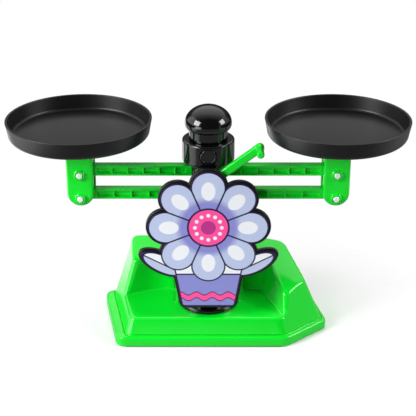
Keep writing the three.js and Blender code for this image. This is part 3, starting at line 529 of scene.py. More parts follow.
class BalanceColours(bpy.types.PropertyGroup):
    """Colours of the finishes."""

    green: colour("Green", "Green plastic", (0.0025, 0.74, 0.026))
    green_deep: colour("Deep green", "Denser patches in the green plastic", (0.002, 0.66, 0.020))
    gloss_black: colour("Gloss black", "Column and cap", (0.0025, 0.0025, 0.003))
    satin_black: colour("Satin black", "Pans and backing", (0.0036, 0.0036, 0.0039))
    steel: colour("Steel", "Pins and screws", (0.93, 0.93, 0.95))
    rubber: colour("Rubber", "Feet", (0.020, 0.020, 0.022))
    lavender: colour("Lavender", "Petals", (0.50, 0.57, 0.80))
    lilac: colour("Lilac", "Pot and petal roots", (0.25, 0.26, 0.63))
    navy: colour("Navy", "Printed lines", (0.012, 0.005, 0.045))
    pink: colour("Pink", "Flower's middle and the pot's band", (1.0, 0.08, 0.35))
    magenta: colour("Magenta", "Printed shade", (0.48, 0.03, 0.25))
    white: colour("White", "Printed white", (0.86, 0.89, 0.93))
    floor: colour("Floor", "Floor under the scale, as seen", (0.93, 0.93, 0.93))
    floor_in_gloss: colour("Floor in gloss", "Floor as seen in glossy surfaces", (0.55, 0.55, 0.55))
    floor_bounce: colour("Floor bounce", "Floor as it lights the pieces", (0.30, 0.30, 0.30))


class BalanceLight(bpy.types.PropertyGroup):
    """Powers and sizes of the studio lights, what gloss shows of the studio, and the camera."""

    key_power: power("Key power", "Left softbox", 15.4)
    side_power: power("Side power", "Right softbox", 9.5)
    front_power: power("Front power", "Front softbox", 4.2)
    top_power: power("Top power", "Softbox over the back", 5.0)
    sky: amount("Sky", "Soft light from all round", 0.15)
    ceiling_in_gloss: amount("Ceiling in gloss", "The sky overhead as seen in glossy surfaces", 1.15)
    front_in_gloss: amount("Front in gloss", "The studio's dark front as seen in gloss", 0.03)
    back_in_gloss: amount("Back in gloss", "The backdrop as seen in glossy surfaces", 1.35)
    table_behind_in_gloss: amount("Table behind in gloss", "More of the table at the back left", 2.4)
    table_in_gloss: amount("Table in gloss", "The table round the floor as seen in glossy surfaces", 0.35)
    left_in_gloss: amount("Left in gloss", "The left wall as seen in glossy surfaces", 1.6)
    low_left_in_gloss: amount("Low left in gloss", "A low left softbox as seen in glossy surfaces", 5.0)
    right_in_gloss: amount("Right in gloss", "The right wall as seen in glossy surfaces", 0.55)
    key_size: length("Key size", "Side of the left softbox", 560)
    side_size: length("Side size", "Side of the right softbox", 480)
    front_size: length("Front size", "Side of the front softbox", 450)
    top_size: length("Top size", "Side of the softbox over the back", 700)
    camera_x: length("Camera X", "X of the camera", -0.3)
    camera_back: length("Camera distance", "Y of the camera", -944.2)
    camera_height: length("Camera height", "Height of the camera", 553.4)
    camera_pitch: angle("Camera pitch", "Tilt of the camera from straight down", 65.28)
    focal: FloatProperty(name="Focal length", description="Of the camera", default=102.03, unit="CAMERA")


def in_millimetres(group):
    """The group's sizes as plain numbers: lengths in millimetres, angles in radians."""
    sizes = {}
    for prop in group.bl_rna.properties:
        if prop.type in {"FLOAT", "INT"}:
            scale = MM if prop.type == "FLOAT" and prop.unit == "LENGTH" else 1
            sizes[prop.identifier] = getattr(group, prop.identifier) / scale
    return SimpleNamespace(**sizes)


# Finishes

class Wire:
    """A shader socket that can be used in sums."""

    def __init__(self, tree, socket):
        self.tree = tree
        self.socket = socket

    def node(self, kind, settings, sockets, output=0):
        """Adds a node with these settings and these values or links, and gives one of its outputs."""
        made = self.tree.nodes.new(kind)
        for name, value in settings.items():
            setattr(made, name, value)
        for key, value in sockets.items():
            if isinstance(value, Wire):
                self.tree.links.new(value.socket, made.inputs[key])
            else:
                made.inputs[key].default_value = value
        return Wire(self.tree, made.outputs[output])

    def math(self, operation, *others, clamp=False):
        settings = {"operation": operation, "use_clamp": clamp}
        return self.node("ShaderNodeMath", settings, dict(enumerate((self, *others))))

    def __add__(self, other):
        return self.math("ADD", other)

    __radd__ = __add__

    def __mul__(self, other):
        return self.math("MULTIPLY", other)

    __rmul__ = __mul__

    def __sub__(self, other):
        return self.math("SUBTRACT", other)

    def __rsub__(self, other):
        return self.node("ShaderNodeMath", {"operation": "SUBTRACT"}, {0: other, 1: self})

    def __truediv__(self, other):
        return self.math("DIVIDE", other)

    def __abs__(self):
        return self.math("ABSOLUTE")

    def within(self, soft=INK_EDGE):
        """One where this distance is below zero, fading over a soft width."""
        return (0.5 - self / soft).math("ADD", 0.0, clamp=True)

    def below(self, level, soft):
        """One below a level, fading over a soft width."""
        return (self - level).within(soft)

    def above(self, level, soft):
        """One above a level, fading over a soft width."""
        return (level - self).within(soft)

    def near(self, level, reach, soft):
        """One within reach of a level, fading over a soft width."""
        return (abs(self - level) - reach).within(soft)

    def part(self, axis):
        """One of a vector's three parts."""
        return self.node("ShaderNodeSeparateXYZ", {}, {0: self}, output=axis)

    def noise(self, scale, detail=2.0):
        return self.node("ShaderNodeTexNoise", {}, {"Vector": self, "Scale": scale, "Detail": detail})

    def mix(self, first, second):
        """The first colour where this is zero and the second where it is one."""
        sockets = {0: self, 6: first, 7: second}
        return self.node("ShaderNodeMix", {"data_type": "RGBA"}, sockets, output=2)

    def feed(self, shader, socket):
        self.tree.links.new(self.socket, shader.inputs[socket])

    def bump(self, strength, distance):
        sockets = {"Strength": strength, "Distance": distance * MM, "Height": self}
        return self.node("ShaderNodeBump", {}, sockets)


def new_finish(name):
    """A fresh material, its shader and the surface's own coordinates."""
    material = bpy.data.materials.new(name)
    material.use_nodes = True
    tree = material.node_tree
    place = tree.nodes.new("ShaderNodeTexCoord").outputs["Object"]
    return material, tree.nodes["Principled BSDF"], Wire(tree, place)


def green_plastic(colours):
    """Glossy moulded plastic: faint flow patches and a fine ripple."""
    material, shader, place = new_finish("green_plastic_finish")
    flow = place.noise(28.0, 3.0)
    ripple = place.noise(420.0, 1.0)
    flow.mix(colours.green, colours.green_deep).feed(shader, "Base Color")
    (0.07 + 0.08 * flow + 0.04 * place.noise(900.0)).feed(shader, "Roughness")
    ripple.bump(0.05, 0.15).feed(shader, "Normal")
    shader.inputs["Specular IOR Level"].default_value = 0.45
    return material


def gloss_black(colours):
    """Polished black plastic with faint smears."""
    material, shader, place = new_finish("gloss_black_finish")
    smear = place.noise(45.0, 4.0)
    shader.inputs["Base Color"].default_value = colours.gloss_black
    (0.05 + 0.10 * smear).feed(shader, "Roughness")
    place.noise(260.0, 1.0).bump(0.03, 0.12).feed(shader, "Normal")
    shader.inputs["IOR"].default_value = 1.5
    return material


def satin_black(colours):
    """Fine-grained black plastic with a few worn patches."""
    material, shader, place = new_finish("satin_black_finish")
    wear = place.noise(40.0, 4.0)
    grain = place.noise(1500.0, 2.0)
    shader.inputs["Base Color"].default_value = colours.satin_black
    (0.26 + 0.14 * wear + 0.06 * grain).feed(shader, "Roughness")
    grain.bump(0.12, 0.06).feed(shader, "Normal")
    shader.inputs["Specular IOR Level"].default_value = 0.34
    return material


def bare_steel(colours):
    """Turned bright steel."""
    material, shader, place = new_finish("bare_steel_finish")
    turning = place.noise(700.0, 2.0)
    shader.inputs["Base Color"].default_value = colours.steel
    shader.inputs["Metallic"].default_value = 0.3
    (0.28 + 0.16 * turning).feed(shader, "Roughness")
    turning.bump(0.05, 0.05).feed(shader, "Normal")
    return material


def pad_rubber(colours):
    """Dull rubber with a fine pebble."""
    material, shader, place = new_finish("pad_rubber_finish")
    pebble = place.noise(1800.0, 2.0)
    shader.inputs["Base Color"].default_value = colours.rubber
    (0.70 + 0.20 * pebble).feed(shader, "Roughness")
    pebble.bump(0.25, 0.1).feed(shader, "Normal")
    return material


def root_of_squares(first, second):
    return (first * first + second * second).math("SQRT")


def printed_flower(shade, x, z, size, colours):
    """Paints petals, seams and a seeded middle over a shade."""
    up = z - size.flower_height
    turn = up.math("ARCTAN2", x)
    pitch = 2 * math.pi / size.petals
    off_axis = turn - pitch * (turn / pitch).math("ROUND")
    reach = root_of_squares(x, up)
    along = reach * off_axis.math("COSINE") - size.petal_reach
    beside = reach * off_axis.math("SINE")
    petal = root_of_squares(along, beside) - (size.petal - size.border)
    outline = petal.math("MINIMUM", reach - size.petal_reach)
    seam = reach * (pitch / 2 - abs(off_axis)).math("SINE") - SEAM_INK
    blush = root_of_squares(along + BLUSH_IN, beside * BLUSH_NARROWS) - BLUSH
    seed_pitch = pitch * 2 / 3
    seed_turn = turn - seed_pitch * (turn / seed_pitch).math("ROUND")
    seed_along = reach * seed_turn.math("COSINE") - SEED_CIRCLE
    seed = root_of_squares(seed_along, reach * seed_turn.math("SINE")) - SEED
    petals = (reach - ROOT_SHADE).within(ROOT_FADE).mix(colours.lavender, colours.lilac)
    petals = blush.within(SOFT_INK_EDGE).mix(petals, colours.white)
    petals = seam.within().mix(petals, colours.navy)
    petals = (-OUTLINE_INK - outline).within().mix(petals, colours.navy)
    petals = (reach - MIDDLE_RING).within().mix(petals, colours.navy)
    petals = (reach - MIDDLE).within().mix(petals, colours.pink)
    petals = seed.within().mix(petals, colours.white)
    petals = (reach - MIDDLE_SHADE).within().mix(petals, colours.magenta)
    return outline.within().mix(shade, petals)


def printed_leaves(x, z, size, colours):
    """Two leaves, half pale and half lavender, with a dark rib and edge."""
    out = abs(x) - size.leaf_x
    up = z - size.leaf_height
    along = out * math.cos(size.leaf_lift) + up * math.sin(size.leaf_lift)
    across = up * math.cos(size.leaf_lift) - out * math.sin(size.leaf_lift)
    half_length = size.leaf_length / 2 - size.border
    half_width = size.leaf_width / 2 - size.border
    outline = (root_of_squares(along / half_length, across / half_width) - 1.0) * half_width
    halves = across.within(SOFT_INK_EDGE).mix(colours.white, colours.lavender)
    veined = (abs(across) - VEIN_INK).within().mix(halves, colours.navy)
    return (-OUTLINE_INK - outline).within().mix(veined, colours.navy)


def printed_pot(shade, x, z, size, colours):
    """A pot with a pale rim and a banded body, painted over a shade."""
    height = size.pot_top - size.pot_bottom
    spread = (size.pot_top_width - size.pot_bottom_width) / 2 / height
    side = abs(x) - (z - size.pot_bottom) * spread - (size.pot_bottom_width / 2 - size.border)
    outline = side.math("MAXIMUM", z - (size.pot_top - size.border))
    low_edge = outline.math("MAXIMUM", size.pot_bottom + size.border - z)
    rim = size.pot_top - POT_RIM
    wave = z - (size.pot_bottom + BAND_HEIGHT) - WAVE * (x * WAVE_TURN).math("SINE")
    body = (abs(wave) - BAND_INK).within().mix(colours.lilac, colours.navy)
    body = (abs(wave) - BAND).within().mix(body, colours.pink)
    body = (rim - z).within().mix(body, colours.white)
    body = (abs(z - rim) - SEAM_INK).within().mix(body, colours.navy)
    body = (-OUTLINE_INK - low_edge).within().mix(body, colours.navy)
    return outline.within().mix(shade, body)


def printed_card(colours):
    """A flower in a pot, printed on smooth card."""
    material, shader, place = new_finish("printed_card_finish")
    size = in_millimetres(bpy.context.scene.balance_plaque)
    x = place.part(0) / MM
    z = place.part(2) / MM
    shade = printed_leaves(x, z, size, colours)
    shade = printed_pot(shade, x, z, size, colours)
    shade = printed_flower(shade, x, z, size, colours)
    shade.feed(shader, "Base Color")
    (0.30 + 0.12 * place.noise(300.0)).feed(shader, "Roughness")
    place.noise(1200.0).bump(0.04, 0.05).feed(shader, "Normal")
    return material


FINISHES = {
    "green_plastic": green_plastic,
    "gloss_black": gloss_black,
    "satin_black": satin_black,
    "bare_steel": bare_steel,
    "pad_rubber": pad_rubber,
    "printed_card": printed_card,
}


def opaque_colours():
    """The scene's colours as red, green, blue and alpha."""
    group = bpy.context.scene.balance_colours
    names = BalanceColours.__annotations__
    return SimpleNamespace(**{name: (*getattr(group, name), 1.0) for name in names})


def finish_of(node):
    """The finish of a frame node's slot, made the first time that it is asked for."""
    slot = slot_of(node)
    name = f"{slot}_finish"
    return bpy.data.materials.get(name) or FINISHES[slot](opaque_colours())


# Pieces

def base_field(size, low, high):
    """A flange, leaning walls under two sloped tops, and the recess and niche that the column stands in."""
    plan = [
        (size.front_left, low.y),
        (size.front_right, low.y),
        (size.chamfer_x, size.chamfer_y),
        (size.back_right, high.y),
        (size.back_left, high.y),
    ]
    drafts = [size.front_draft, size.chamfer_draft, size.right_draft, size.back_draft, size.left_draft]
    ledges = [size.front_ledge, size.right_ledge, size.right_ledge, size.front_ledge, size.left_ledge]
    chamfer_in = size.right_ledge + (size.chamfer_top - size.flange_top) * math.tan(size.chamfer_draft)
    reach = high.y - low.y + high.x - low.x
    recess_plan = [
        (size.recess_right + reach * math.tan(size.recess_right_lean), size.recess_back - reach),
        (size.recess_right, size.recess_back),
        (size.recess_left, size.recess_back),
        (size.recess_left - reach, size.recess_back - reach * math.tan(size.recess_left_turn)),
    ]
    recess_drafts = [-size.recess_right_draft, -size.recess_back_draft, -size.recess_left_draft]
    foot = millimetres("column")[1].x
    niche_half = foot + size.niche_side_room
    niche_back = foot + size.niche_back_room
    niche_plan = [
        (niche_half, 0.0),
        (niche_half, niche_back),
        (-niche_half, niche_back),
        (-niche_half, 0.0),
    ]
    niche_drafts = [-size.niche_draft] * 3
    cover_top = millimetres("base_cover")[1].z + size.cover_room

    def outline(sides, front_corner, back_corner):
        front, chamfer, right, back, left = sides
        whole = rounded_common([blend_max(front, left, front_corner), chamfer, right], size.chamfer_corner)
        return blend_max(whole, back, back_corner)

    def below_slope(rise, run, slope):
        return (rise - run * math.tan(slope)) * math.cos(slope)

    def field(x, y, z):
        flange_sides = drafted_sides(x, y, 0.0 * z, plan, [0.0] * 5, [0.0] * 5)
        upright = outline(flange_sides, size.front_corner, size.back_corner)
        wall_sides = drafted_sides(x, y, np.maximum(z - size.flange_top, 0.0), plan, drafts, ledges)
        walls = outline(wall_sides, size.wall_corner, size.wall_back_corner)
        main_top = below_slope(z - size.top_at_axis, y, size.top_slope)
        right_top = below_slope(z - size.chamfer_top, -flange_sides[1] - chamfer_in, size.right_slope)
        under = size.floor - z
        recess_sides = drafted_sides(x, y, -under, recess_plan, recess_drafts, [0.0] * 3)
        recess = blend_max(rounded_common(recess_sides, size.recess_corner), under, size.fillet)
        niche_sides = drafted_sides(x, y, -under, niche_plan, niche_drafts, [0.0] * 3)
        niche = np.maximum(rounded_common(niche_sides, size.niche_corner), -y)
        niche = blend_max(niche, under, size.fillet)
        hollow = blend_min(recess, niche, size.fillet)
        upright_edge = np.where(x > 0, size.right_edge, size.left_edge)
        edge = size.edge + (upright_edge - size.edge) * np.clip(-under / size.edge_rise, 0.0, 1.0)
        block = rounded_common([blend_max(walls, -hollow, edge), main_top, right_top], size.edge)
        flange = blend_max(upright, z - size.flange_top, size.flange_edge)
        whole = blend_max(blend_min(block, flange, size.flange_crease), low.z - z, size.flange_crease)
        groove = rod(walls, z - size.flange_top, size.groove)
        whole = blend_max(whole, -groove, size.flange_crease)
        cover = np.maximum(upright + size.cover_inset, z - cover_top)
        return np.maximum(whole, -cover)

    return field


def column_field(size, low, high, pegs):
    """A foot, a shaft with bosses for the plaque, a shoulder, the beams' slot and the holes."""
    foot_top = low.z + size.foot_height
    shoulder_low = high.z - size.shoulder_height
    lean = math.atan2(size.shoulder - size.shaft, size.cone)
    fulcrums = (JOINTS["beam_tilt"].z, JOINTS["lower_beam_tilt"].z)
    lever = JOINTS["lever_swing"].z
    stub_low = millimetres("column_cap")[0].z
    plug_back = millimetres("shoulder_plug")[1].y
    shaft_back = millimetres("lever_shaft")[1].y
    peg_back = millimetres("plaque_backing")[1].y

    def field(x, y, z):
        out = rod(x, y, 0.0)
        foot = blend_max(out + low.x, z - foot_top, size.foot_edge)
        under = (out - size.shaft) * math.cos(lean) - (z - shoulder_low + size.cone) * math.sin(lean)
        shoulder = rounded_common([out - size.shoulder, under, z - high.z], size.shoulder_edge)
        shaft = np.maximum(out - size.shaft, z - high.z + SHAFT_DROP)
        whole = np.minimum(blend_min(shaft, foot, SHAFT_FILLET), shoulder)
        for height in (pegs.peg_low, pegs.peg_high):
            boss = blend_max(rod(x, z - height, BOSS), np.maximum(low.y - y, y), SHAFT_FILLET)
            whole = blend_min(whole, boss, SHAFT_FILLET)
            hole = np.maximum(rod(x, z - height, pegs.peg + size.cap_room), y - peg_back - size.cap_room)
            whole = np.maximum(whole, -hole)
        whole = np.maximum(whole, low.z - z)
        slot = np.maximum(np.abs(y) - size.slot_width / 2, slab(z, size.slot_low, size.slot_high))
        whole = blend_max(whole, -slot, BEAM_SLOT_EDGE)
        for height in fulcrums:
            whole = np.maximum(whole, -rod(x, z - height, FULCRUM_BORE))
        hole = np.maximum(rod(x, z - lever, LEVER_BORE), y - shaft_back - size.cap_room)
        pocket = rod(x, z - size.plug_height, size.plug + size.plug_room)
        pocket = np.maximum(pocket, y - plug_back - size.plug_room)
        bore = np.maximum(rod(x, y, size.cap_stub + size.cap_room), stub_low - size.cap_room - z)
        whole = blend_max(np.maximum(whole, -hole), -pocket, PLUG_POCKET_EDGE)
        return np.maximum(whole, -bore)

    return field


def beam_field(size, pin, fulcrum, ribs, hub_half):
    """A round-ended bar with hubs, pocketed between its ribs on both faces."""
    half = size.beam_height / 2

    def field(x, y, z):
        span = np.abs(x)
        up = z - pin.z
        past = np.maximum(span - pin.x, 0.0)
        faces = np.abs(y) - size.beam_depth / 2
        whole = blend_max(rod(past, up, half), faces, size.beam_edge)
        hub = blend_max(rod(span - pin.x, up, size.end_hub), np.abs(y) - hub_half, size.pocket_edge)
        middle = blend_max(rod(x, z - fulcrum.z, size.fulcrum_hub), faces, size.beam_edge)
        whole = np.minimum(blend_min(whole, middle, FULCRUM_FILLET), hub)
        depth = np.maximum(np.abs(up) - half + size.flange, size.web / 2 - np.abs(y))
        gaps = [slab(span, a + size.rib / 2, b - size.rib / 2) for a, b in zip(ribs, ribs[1:])]
        pockets = blend_max(np.minimum.reduce(np.broadcast_arrays(*gaps)), depth, size.pocket_edge)
        whole = blend_max(whole, -pockets, size.pocket_edge)
        holes = np.minimum(rod(span - pin.x, up, size.pin_hole), rod(x, z - fulcrum.z, size.fulcrum_hole))
        return np.maximum(whole, -holes)

    return field


def post_field(size, low, high, outward, pin_heights):
    """A round-ended post with rings round its pins, a slot for the beams and a bore for the pan's stub."""
    middle = (low.x + high.x) / 2
    half = (high.x - low.x) / 2
    half_depth = high.y
    round_centre = low.z + half
    inner = half_depth - size.cheek
    bore_low = high.z - size.stub_length

    def field(x, y, z):
        across = x - middle
        outline = rod(across, np.minimum(z - round_centre, 0.0), half)
        whole = blend_max(outline, np.abs(y) - half_depth, size.post_edge)
        whole = blend_max(whole, z - high.z, POST_EDGE)
        for height in pin_heights:
            ring_ends = np.maximum(low.y - y, y + inner)
            ring = blend_max(rod(across, z - height, size.ring), ring_ends, RING_EDGE)
            whole = blend_min(whole, ring, RING_EDGE)
        slot = np.maximum(np.abs(y) - inner, outward * across - half + size.post_web)
        slot = np.maximum(slot, z - max(pin_heights) - size.slot_room)
        whole = blend_max(whole, -slot, POST_EDGE)
        for height in pin_heights:
            whole = np.maximum(whole, -rod(across, z - height, size.pin_hole))
        bore = np.maximum(rod(across, y, size.stub + size.stub_room), bore_low - z)
        return np.maximum(whole, -bore)

    return field


def lever_field(size, low, high, pivot):
    """A slanted bar with a finger peg, and a hub with the shaft's blind hole behind it."""
    front = size.bar_back - size.bar_thickness
    cos = math.cos(size.bar_angle)
    sin = math.sin(size.bar_angle)

    def field(x, y, z):
        along = x * cos + (z - pivot.z) * sin
        across = (z - pivot.z) * cos - x * sin
        past = along - np.clip(along, 0.0, size.bar_length)
        over = across - size.bar_offset
        bar = blend_max(rod(past, over, size.bar_width / 2), slab(y, front, size.bar_back), size.bar_edge)
        peg_end = np.maximum(low.y - y, y - size.bar_back - size.peg_edge)
        peg = blend_max(rod(along - size.bar_length, over, size.peg), peg_end, size.peg_edge)
        hub_ends = slab(y, front + LEVER_HUB_INSET, high.y)
        hub = blend_max(rod(along, across, size.hub), hub_ends, LEVER_HUB_EDGE)
        whole = blend_min(blend_min(bar, peg, PEG_FILLET), hub, LEVER_HUB_EDGE)
        hole = np.maximum(rod(along, across, size.shaft_hole), front + size.shaft_face - y)
        return np.maximum(whole, -hole)

    return field


def plaque_outline(size, x, z, inset):
    """The flower, its pot and its leaves seen from the front, drawn in by an inset."""
    up = z - size.flower_height
    turn = np.arctan2(up, x)
    pitch = 2 * math.pi / size.petals
    off_axis = turn - pitch * np.round(turn / pitch)
    reach = np.sqrt(x * x + up * up)
    petal = rod(reach * np.cos(off_axis) - size.petal_reach, reach * np.sin(off_axis), size.petal - inset)
    flower = np.minimum(petal, reach - size.petal_reach)
    height = size.pot_top - size.pot_bottom
    lean = math.atan2((size.pot_top_width - size.pot_bottom_width) / 2, height)
    side = (np.abs(x) - size.pot_bottom_width / 2) * math.cos(lean) - (z - size.pot_bottom) * math.sin(lean)
    ends = slab(z, size.pot_bottom + inset, size.pot_top - inset)
    pot = blend_max(side + inset, ends, size.pot_corner)
    out = np.abs(x) - size.leaf_x
    lift = z - size.leaf_height
    along = out * math.cos(size.leaf_lift) + lift * math.sin(size.leaf_lift)
    across = lift * math.cos(size.leaf_lift) - out * math.sin(size.leaf_lift)
    half_length = size.leaf_length / 2 - inset
    half_width = size.leaf_width / 2 - inset
    leaf = (np.sqrt((along / half_length) ** 2 + (across / half_width) ** 2) - 1.0) * half_width
    return np.minimum(np.minimum(flower, pot), leaf)


def dress(piece, node):
    """Puts a piece in a frame node's place, on its body and with its finish."""
    piece.data.materials.clear()
    piece.data.materials.append(finish_of(node))
    slot_of(node)
    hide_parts(node)
    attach(piece, body_of(node))


def skin_node(node, field, cell):
    """Skins a field over a frame node's box and puts it in the node's place."""
    low, high = millimetres(node)
    steps = cell if isinstance(cell, tuple) else (cell,) * 3
    dress(skin(f"{node}_skin", field, low, high, steps), node)


def finish_frame_node(node, edge):
    """Gives a frame node its finish and a small bevel."""
    piece = frame["nodes"][node]
    piece.data.materials.clear()
    piece.data.materials.append(finish_of(node))
    bevel = piece.modifiers.new("edge", "BEVEL")
    bevel.width = edge * MM
    bevel.segments = 2
    bevel.limit_method = "ANGLE"


def lay_forward(piece, at):
    """Turns a piece's own axis to the front and moves its back to a place in millimetres."""
    turn = Matrix.Rotation(math.radians(90), 4, "X")
    piece.data.transform(Matrix.Translation(at * MM) @ turn)


def rib_places(first, second, pitch, last):
    """How far a beam's ribs are from the axis: the first, then evenly from the second to the post."""
    return [first, *np.arange(second, last, pitch)]


class BALANCE_OT_base(bpy.types.Operator):
    """Skin the moulded base with rounded edges and fillets"""

    bl_idname = "balance.base"
    bl_label = "Base"

    def execute(self, context):
        size = in_millimetres(context.scene.balance_base)
        low, high = millimetres("base_body")
        skin_node("base_body", base_field(size, low, high), BASE_CELL)
        return {"FINISHED"}


class BALANCE_OT_underside(bpy.types.Operator):
    """Finish the cover, its screws and the feet under the base"""

    bl_idname = "balance.underside"
    bl_label = "Underside"

    def execute(self, context):
        for node in frame["nodes"]:
            if node.startswith(("base_cover", "cover_screw", "column_screw", "foot_pad")):
                finish_frame_node(node, UNDERSIDE_BEVEL)
        return {"FINISHED"}


class BALANCE_OT_column(bpy.types.Operator):
    """Skin the slotted column and turn its cap and its plug"""

    bl_idname = "balance.column"
    bl_label = "Column"

    def execute(self, context):
        size = in_millimetres(context.scene.balance_column)
        pegs = in_millimetres(context.scene.balance_plaque)
        low, high = millimetres("column")
        skin_node("column", column_field(size, low, high, pegs), COLUMN_CELL)
        self.cap(size)
        self.plug(size)
        for node in ("upper_fulcrum_pin", "lower_fulcrum_pin"):
            finish_frame_node(node, FULCRUM_BEVEL)
        return {"FINISHED"}

    def cap(self, size):
        low, high = millimetres("column_cap")
        neck_low = millimetres("column")[1].z + size.cap_room
        equator = neck_low + size.neck_height + size.dome_skirt
        skirt = (high.x - size.neck, size.dome_skirt)
        profile = [
            (0, low.z),
            (size.cap_stub, low.z),
            (size.cap_stub, neck_low),
            (size.neck - NECK_EDGE, neck_low),
            (size.neck, neck_low + NECK_EDGE),
            *arc((size.neck, equator), skirt, -90, 0, 14),
            *arc((0, equator), (high.x, high.z - equator), 0, 90, 40)[1:],
        ]
        dress(turned("column_cap_turned", profile, CAP_SIDES, WIDE_SHARP), "column_cap")

    def plug(self, size):
        low, high = millimetres("shoulder_plug")
        thick = high.y - low.y
        profile = [
            (0, 0),
            (size.plug, 0),
            (size.plug, thick - PLUG_EDGE),
            *arc((size.plug - PLUG_EDGE, thick - PLUG_EDGE), (PLUG_EDGE, PLUG_EDGE), 0, 90, 5),
            (size.plug - PLUG_LIP, thick),
            *arc((size.plug - PLUG_LIP - DISH_EDGE, thick), (DISH_EDGE, -DISH), 0, 90, 3),
            (0, thick - DISH),
        ]
        piece = turned("shoulder_plug_turned", profile, PLUG_SIDES, SMALL_SHARP)
        lay_forward(piece, Vector((0, high.y, size.plug_height)))
        dress(piece, "shoulder_plug")


class BALANCE_OT_beams(bpy.types.Operator):
    """Skin the two ribbed beams"""

    bl_idname = "balance.beams"
    bl_label = "Beams"

    def execute(self, context):
        size = in_millimetres(context.scene.balance_links)
        pin = JOINTS["right_carrier_pivot"]
        upper = JOINTS["beam_tilt"]
        lower = JOINTS["lower_beam_tilt"]
        last = millimetres("right_post")[0].x
        hub_half = millimetres("upper_beam")[1].y
        upper_ribs = rib_places(size.upper_first, size.upper_second, size.upper_pitch, last)
        lower_second = size.lower_first + size.lower_pitch
        lower_ribs = rib_places(size.lower_first, lower_second, size.lower_pitch, last)
        lower_pin = pin - upper + lower
        skin_node("upper_beam", beam_field(size, pin, upper, upper_ribs, hub_half), BEAM_CELL)
        skin_node("lower_beam", beam_field(size, lower_pin, lower, lower_ribs, hub_half), BEAM_CELL)
        return {"FINISHED"}


class BALANCE_OT_carriers(bpy.types.Operator):
    """Skin the posts and turn their pins and pans"""

    bl_idname = "balance.carriers"
    bl_label = "Posts, pins and pans"

    def execute(self, context):
        size = in_millimetres(context.scene.balance_links)
        upper = JOINTS["right_carrier_pivot"].z
        lower = upper - JOINTS["beam_tilt"].z + JOINTS["lower_beam_tilt"].z
        for side, outward in (("left", -1), ("right", 1)):
            low, high = millimetres(f"{side}_post")
            skin_node(f"{side}_post", post_field(size, low, high, outward, (upper, lower)), POST_CELL)
            self.pin(size, f"{side}_upper_pin", upper)
            self.pin(size, f"{side}_lower_pin", lower)
            self.pan(size, f"{side}_pan")
        return {"FINISHED"}

    def pin(self, size, node, height):
        low, high = millimetres(node)
        long = high.y - low.y
        edge = size.pin_edge
        profile = [
            (0, 0),
            (size.pin_head - edge, 0),
            *arc((size.pin_head - edge, edge), (edge, edge), -90, 0, 4),
            (size.pin_head, size.pin_head_height),
            (size.pin, size.pin_head_height),
            *arc((size.pin - edge, long - edge), (edge, edge), 0, 90, 5),
            (0, long),
        ]
        piece = turned(f"{node}_turned", profile, PIN_SIDES, SMALL_SHARP)
        lay_forward(piece, Vector(((low.x + high.x) / 2, high.y, height)))
        dress(piece, node)

    def pan(self, size, node):
        low, high = millimetres(node)
        radius = (high.x - low.x) / 2
        foot = radius - size.pan_taper
        bottom = high.z - size.pan_height
        floor = bottom + size.pan_floor
        rim = radius - size.pan_wall
        lip = size.pan_lip
        fillet = size.pan_fillet
        heel = size.pan_foot
        profile = [
            (0, low.z),
            (size.stub, low.z),
            (size.stub, bottom),
            *arc((foot - heel, bottom + heel), (heel, heel), -90, 0, 10),
            *arc((radius - lip, high.z - lip), (lip, lip), 0, 90, 5),
            *arc((rim + lip, high.z - lip), (lip, lip), 90, 180, 5),
            *arc((foot - size.pan_wall - fillet, floor + fillet), (fillet, fillet), 0, -90, 8),
            (0, floor),
        ]
        piece = turned(f"{node}_turned", profile, PAN_SIDES, WIDE_SHARP)
        piece.data.transform(Matrix.Translation(Vector(((low.x + high.x) / 2, 0, 0)) * MM))
        dress(piece, node)


class BALANCE_OT_lever(bpy.types.Operator):
    """Skin the lock lever and finish its shaft and cam"""

    bl_idname = "balance.lever"
    bl_label = "Lever"

    def execute(self, context):
        size = in_millimetres(context.scene.balance_column)
        low, high = millimetres("lock_lever")
        skin_node("lock_lever", lever_field(size, low, high, JOINTS["lever_swing"]), LEVER_CELL)
        for node in ("lever_shaft", "brake_cam"):
            finish_frame_node(node, SHAFT_BEVEL)
        return {"FINISHED"}


class BALANCE_OT_plaque(bpy.types.Operator):
    """Skin the plaque's backing and its printed card"""

    bl_idname = "balance.plaque"
    bl_label = "Plaque"

    def execute(self, context):
        size = in_millimetres(context.scene.balance_plaque)
        low, high = millimetres("plaque_backing")

        def backing(x, y, z):
            whole = blend_max(plaque_outline(size, x, z, 0.0), slab(y, low.y, size.back), size.plate_edge)
            for height in (size.peg_low, size.peg_high):
                peg = np.maximum(rod(x, z - height, size.peg), slab(y, low.y, high.y))
                whole = np.minimum(whole, peg)
            return whole

        card_low, card_high = millimetres("plaque_card")

        def card(x, y, z):
            face = plaque_outline(size, x, z, size.border)
            return blend_max(face, slab(y, card_low.y, card_high.y), CARD_EDGE)

        skin_node("plaque_backing", backing, BACKING_CELL)
        skin_node("plaque_card", card, CARD_CELL)
        return {"FINISHED"}


# Stage

def softbox(name, watts, side, place, in_gloss=True):
    """A square area light at a place in metres, aimed at the scale."""
    lamp = bpy.data.lights.new(name, "AREA")
    lamp.energy = watts
    lamp.size = side
    light = bpy.data.objects.new(name, lamp)
    light.location = place
    light.rotation_euler = (AIM - Vector(place)).to_track_quat("-Z", "Y").to_euler()
    bpy.context.scene.collection.objects.link(light)
    light.visible_glossy = in_gloss


